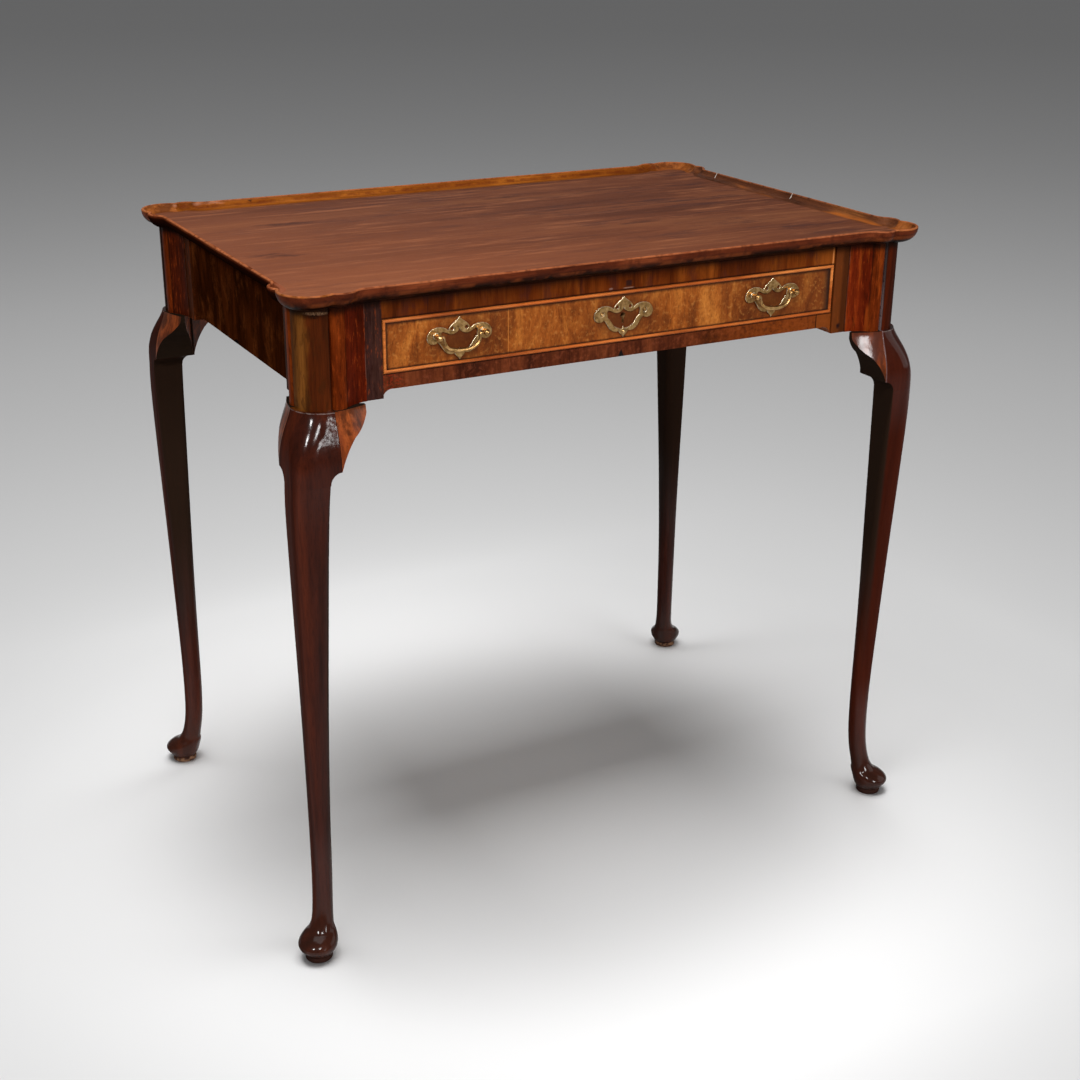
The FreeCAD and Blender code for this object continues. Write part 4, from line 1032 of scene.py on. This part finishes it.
def bottomRailMarks(tree, colour):
    look = bottomRailLook
    place = here(tree)
    x = here(tree, "X")
    z = here(tree, "Z")
    tone = banded(tree, x, 3.61)[0]
    colour = laidOn(tree, colour, look["browner"], tone, 0.25)
    mottle = noise(tree, place, 230, 5.0, 0.7)
    colour = laidOn(tree, colour, look["pale"], fade(tree, mottle, 0.5, 0.66), 0.35)
    colour = laidOn(tree, colour, look["dark"], fade(tree, mottle, 0.47, 0.34), 0.4)
    flecks = fade(tree, noise(tree, place, 520, 4.0, 0.65), 0.48, 0.58)
    colour = laidOn(tree, colour, look["red"], fade(tree, x, -0.235, -0.25), flecks, 0.5)
    right = fade(tree, x, 0.04, 0.2)
    colour = laidOn(tree, colour, look["warm"], right, fade(tree, mottle, 0.2, 0.56), 0.5)
    start = look["repairFrom"]
    colour = laidOn(tree, colour, look["repair"], fade(tree, x, start - 0.0005, start + 0.0005), 0.5)
    colour = laidOn(tree, colour, look["joint"], window(tree, x, start - 0.0011, start + 0.0001, 0.0003))
    # a small three-cornered loss at the lower edge
    middle, top = look["lossTop"]
    half = calculate(tree, "MULTIPLY", calculate(tree, "SUBTRACT", top, z), look["lossSlope"])
    off = calculate(tree, "ABSOLUTE", calculate(tree, "SUBTRACT", x, middle))
    loss = fade(tree, calculate(tree, "SUBTRACT", half, off), -0.0002, 0.0004)
    colour = laidOn(tree, colour, look["loss"], loss)
    return laidOn(tree, colour, look["shade"], fade(tree, z, 0.6086, 0.6098), 0.7)


dress(wood("topRailVeneer", topRailLook, marks=topRailMarks), "rail_top_front")
dress(wood("bottomRailVeneer", bottomRailLook, marks=bottomRailMarks), "rail_bottom_front")

# drawer
drawerLow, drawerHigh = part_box("drawer_front")
drawerFace = drawerLow.y
beadLow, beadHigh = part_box("cock_bead_top")
beadWide = beadHigh.z - beadLow.z
drawerLook = {
    "along": "Z",
    "seed": 10.0,
    "tones": ((84, 38, 10), (136, 70, 22), (176, 106, 42)),
    "squash": 0.4,
    "figureScale": 46,
    "twist": 0.8,
    "streak": 0.35,
    "pores": 0.5,
    "fineSquash": 0.2,
    "hairScale": 1100,
    "rough": (0.3, 0.42),
    "specular": 0.08,
    "shadeTone": (84, 38, 14),
    "shadeEnd": 0.265,
    "shade": [               # along the front, how dark the veneer is
        (-0.262, 0.1),
        (-0.215, 0.0),
        (-0.165, 0.5),
        (-0.131, 0.4),
        (-0.128, 0.05),
        (-0.07, 0.0),
        (-0.035, 0.35),
        (0.03, 0.35),
        (0.06, 0.0),
        (0.118, 0.1),
        (0.121, 0.4),
        (0.2, 0.5),
        (0.235, 0.6),
        (0.262, 0.8),
    ],
    "paleMottle": (206, 140, 70),
    "darkMottle": (90, 42, 12),
    "joint": (190, 116, 50),
    "jointPlace": -0.1297,
    "dulled": [              # round each brass, painted shadow and grime: tone, height, reach, edge, how uneven, share
        ((68, 31, 12), 0.6365, (0.047, 0.05, 0.026), 0.6, 0.012, 0.62),
        ((58, 25, 9), 0.634, (0.02, 0.05, 0.013), 0.5, 0.0, 0.4),
    ],
    "grimeAndShade": (36, 18, 10),
    "grimeAndShadeReach": (0.0042, 0.0042, 0.0024),      # from the beads at the ends, the top, the bottom
    "shadedRightEnd": (38, 23, 17),
    "oak": [(0.35, (112, 78, 46)), (0.6, (158, 120, 78))],
}


def shadedAlong(tree, colour, x):
    # broad darker and lighter stretches of the veneer, and one joint in it
    end = drawerLook["shadeEnd"]
    stops = [((at + end) / (2 * end), (dark, dark, dark, 1)) for at, dark in drawerLook["shade"]]
    share = put(tree, "MapRange", {"Value": x, "From Min": -end, "From Max": end}).outputs[0]
    return laidOn(tree, colour, drawerLook["shadeTone"], ramp(tree, share, stops), 0.9)


def shadowAndGrimeRoundBrasses(tree, colour):
    # grime from polishing, and painted shadow round the brasses
    for name in ("backplate_left", "escutcheon", "backplate_right"):
        low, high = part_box(name)
        middle = (low.x + high.x) / 2
        for tone, height, reach, edge, uneven, share in drawerLook["dulled"]:
            place = wobbled(tree, here(tree), 90, uneven) if uneven else here(tree)
            dulled = spot(tree, place, (middle, drawerFace, height), reach, edge)
            colour = laidOn(tree, colour, tone, dulled, share)
    return colour


def grimeAndShadeAlongBeads(tree, colour, x, z):
    # painted shade and grime inside the beads along the ends, the top and the bottom
    edges = [
        calculate(tree, "SUBTRACT", drawerHigh.x - beadWide, calculate(tree, "ABSOLUTE", x)),
        calculate(tree, "SUBTRACT", drawerHigh.z - beadWide, z),
        calculate(tree, "SUBTRACT", z, drawerLow.z + beadWide),
    ]
    for edge, reach in zip(edges, drawerLook["grimeAndShadeReach"]):
        grimeAndShade = fade(tree, wobble(tree, edge, here(tree), 80, 0.0012), reach, 0.0004)
        colour = laidOn(tree, colour, drawerLook["grimeAndShade"], grimeAndShade, 0.85)
    return colour


def drawerMarks(tree, colour):
    place = here(tree)
    x = here(tree, "X")
    colour = shadedAlong(tree, colour, x)
    mottle = noise(tree, place, 240, 5.0, 0.7)
    colour = laidOn(tree, colour, drawerLook["paleMottle"], fade(tree, mottle, 0.52, 0.66), 0.22)
    colour = laidOn(tree, colour, drawerLook["darkMottle"], fade(tree, mottle, 0.46, 0.34), 0.3)
    at = drawerLook["jointPlace"]
    joint = window(tree, wobble(tree, x, place, 120, 0.0008), at - 0.0004, at + 0.0004, 0.0003)
    colour = laidOn(tree, colour, drawerLook["joint"], joint, 0.6)
    colour = shadowAndGrimeRoundBrasses(tree, colour)
    colour = grimeAndShadeAlongBeads(tree, colour, x, here(tree, "Z"))
    # painted shade inside the bead at the right end
    end = drawerHigh.x - beadWide
    dark = fade(tree, wobble(tree, x, place, 60, 0.006), end - 0.011, end - 0.002)
    colour = laidOn(tree, colour, drawerLook["shadedRightEnd"], dark, 0.8)
    # only the face is veneered, the rest of the front is raw oak
    behind = fade(tree, here(tree, "Y"), drawerFace + 0.0006, drawerFace + 0.0012)
    grain = noise(tree, alongGrain(tree, place, "X", 4.0, 0.04), 90, 4.0, 0.6)
    raw = ramp(tree, grain, [(stop, paint(*tone)) for stop, tone in drawerLook["oak"]])
    return mixed(tree, behind, colour, raw)


beadLook = {
    "along": "X",
    "seed": 11.0,
    "tones": ((134, 60, 20), (174, 90, 36), (204, 122, 60)),
    "squash": 0.3,
    "rough": (0.3, 0.42),
    "specular": 0.1,
    "under": (104, 46, 18),
    "root": (60, 30, 16),
}


def beadMarks(tree, colour):
    # painted shade on the bead's lower side and where it meets the drawer front
    under = fade(tree, facing(tree, "Z"), 0.1, -0.6)
    colour = laidOn(tree, colour, beadLook["under"], under, 0.6)
    root = fade(tree, here(tree, "Y"), drawerFace - 0.0012, drawerFace - 0.0003)
    return laidOn(tree, colour, beadLook["root"], root, 0.6)


oakLook = {
    "along": "Y",
    "seed": 12.0,
    "tones": ((118, 84, 52), (158, 120, 80), (184, 148, 104)),
    "rough": (0.55, 0.7),
    "specular": 0.3,
}
dress(wood("drawerVeneer", drawerLook, marks=drawerMarks), "drawer_front")
dress(wood("beadWood", beadLook, marks=beadMarks), *named("cock_bead"))
dress(wood("oak", oakLook), *named("drawer_side", "drawer_back", "drawer_bottom", "drawer_runner"))
dress(wood("oakBlocks", dict(oakLook, seed=13.0)), *named("kicker", "drawer_stops", "glue_blocks"))
print("wood given")


# metal
brassLook = {
    "tones": [(0.3, (112, 82, 46)), (0.52, (190, 148, 92)), (0.75, (228, 190, 132))],
    "worn": (250, 238, 204),
    "grimeAndShade": (66, 46, 24),
    "rough": (0.42, 0.26),
    "edge": 0.0011,
}


def brassMaterial():
    material, tree, shader = emptyMaterial("agedBrass")
    place = here(tree)
    patina = noise(tree, place, 220, 4.0, 0.6)
    colour = ramp(tree, patina, [(stop, paint(*tone)) for stop, tone in brassLook["tones"]])
    # edges hold grime and painted shade, and carry wear with a painted highlight where they face up or
    # to the left
    softened = put(tree, "Bevel", {"Radius": brassLook["edge"]}, samples=4).outputs[0]
    flat = put(tree, "NewGeometry").outputs["Normal"]
    sides = {0: softened, 1: flat}
    turn = put(tree, "VectorMath", sides, operation="DOT_PRODUCT").outputs["Value"]
    edge = fade(tree, turn, 0.985, 0.85)
    slant = put(tree, "SeparateXYZ", {0: softened}).outputs
    upward = fade(tree, calculate(tree, "SUBTRACT", slant["Z"], slant["X"]), -0.1, 0.3)
    colour = laidOn(tree, colour, brassLook["grimeAndShade"], edge, 0.75)
    colour = laidOn(tree, colour, brassLook["worn"], edge, upward, 0.95)
    high, low = brassLook["rough"]
    rough = put(tree, "MapRange", {"Value": patina, "To Min": high, "To Max": low}).outputs[0]
    dents = bump(tree, noise(tree, place, 500, 3.0), 0.15, 0.0004, softened)
    tree.links.new(colour, shader.inputs["Base Color"])
    tree.links.new(rough, shader.inputs["Roughness"])
    tree.links.new(dents, shader.inputs["Normal"])
    shader.inputs["Metallic"].default_value = 1.0
    return material


ironLook = {
    "lockIron": {"tones": ((40, 34, 30), (92, 82, 74)), "rough": 0.5},
    "screwSteel": {"tones": ((90, 88, 84), (150, 148, 144)), "rough": 0.4},
}


def ironMaterial(name):
    material, tree, shader = emptyMaterial(name)
    dark, light = ironLook[name]["tones"]
    rust = noise(tree, here(tree), 160, 5.0, 0.65)
    colour = ramp(tree, rust, [(0.35, paint(*dark)), (0.65, paint(*light))])
    tree.links.new(colour, shader.inputs["Base Color"])
    tree.links.new(bump(tree, rust, 0.3, 0.0005), shader.inputs["Normal"])
    shader.inputs["Metallic"].default_value = 0.85
    shader.inputs["Roughness"].default_value = ironLook[name]["rough"]
    return material


dress(brassMaterial(), *named("backplate", "handle_", "bail_", "escutcheon"))
dress(ironMaterial("lockIron"), "lock_case", "lock_bolt")
dress(ironMaterial("screwSteel"), "top_screws")
print("metal given")
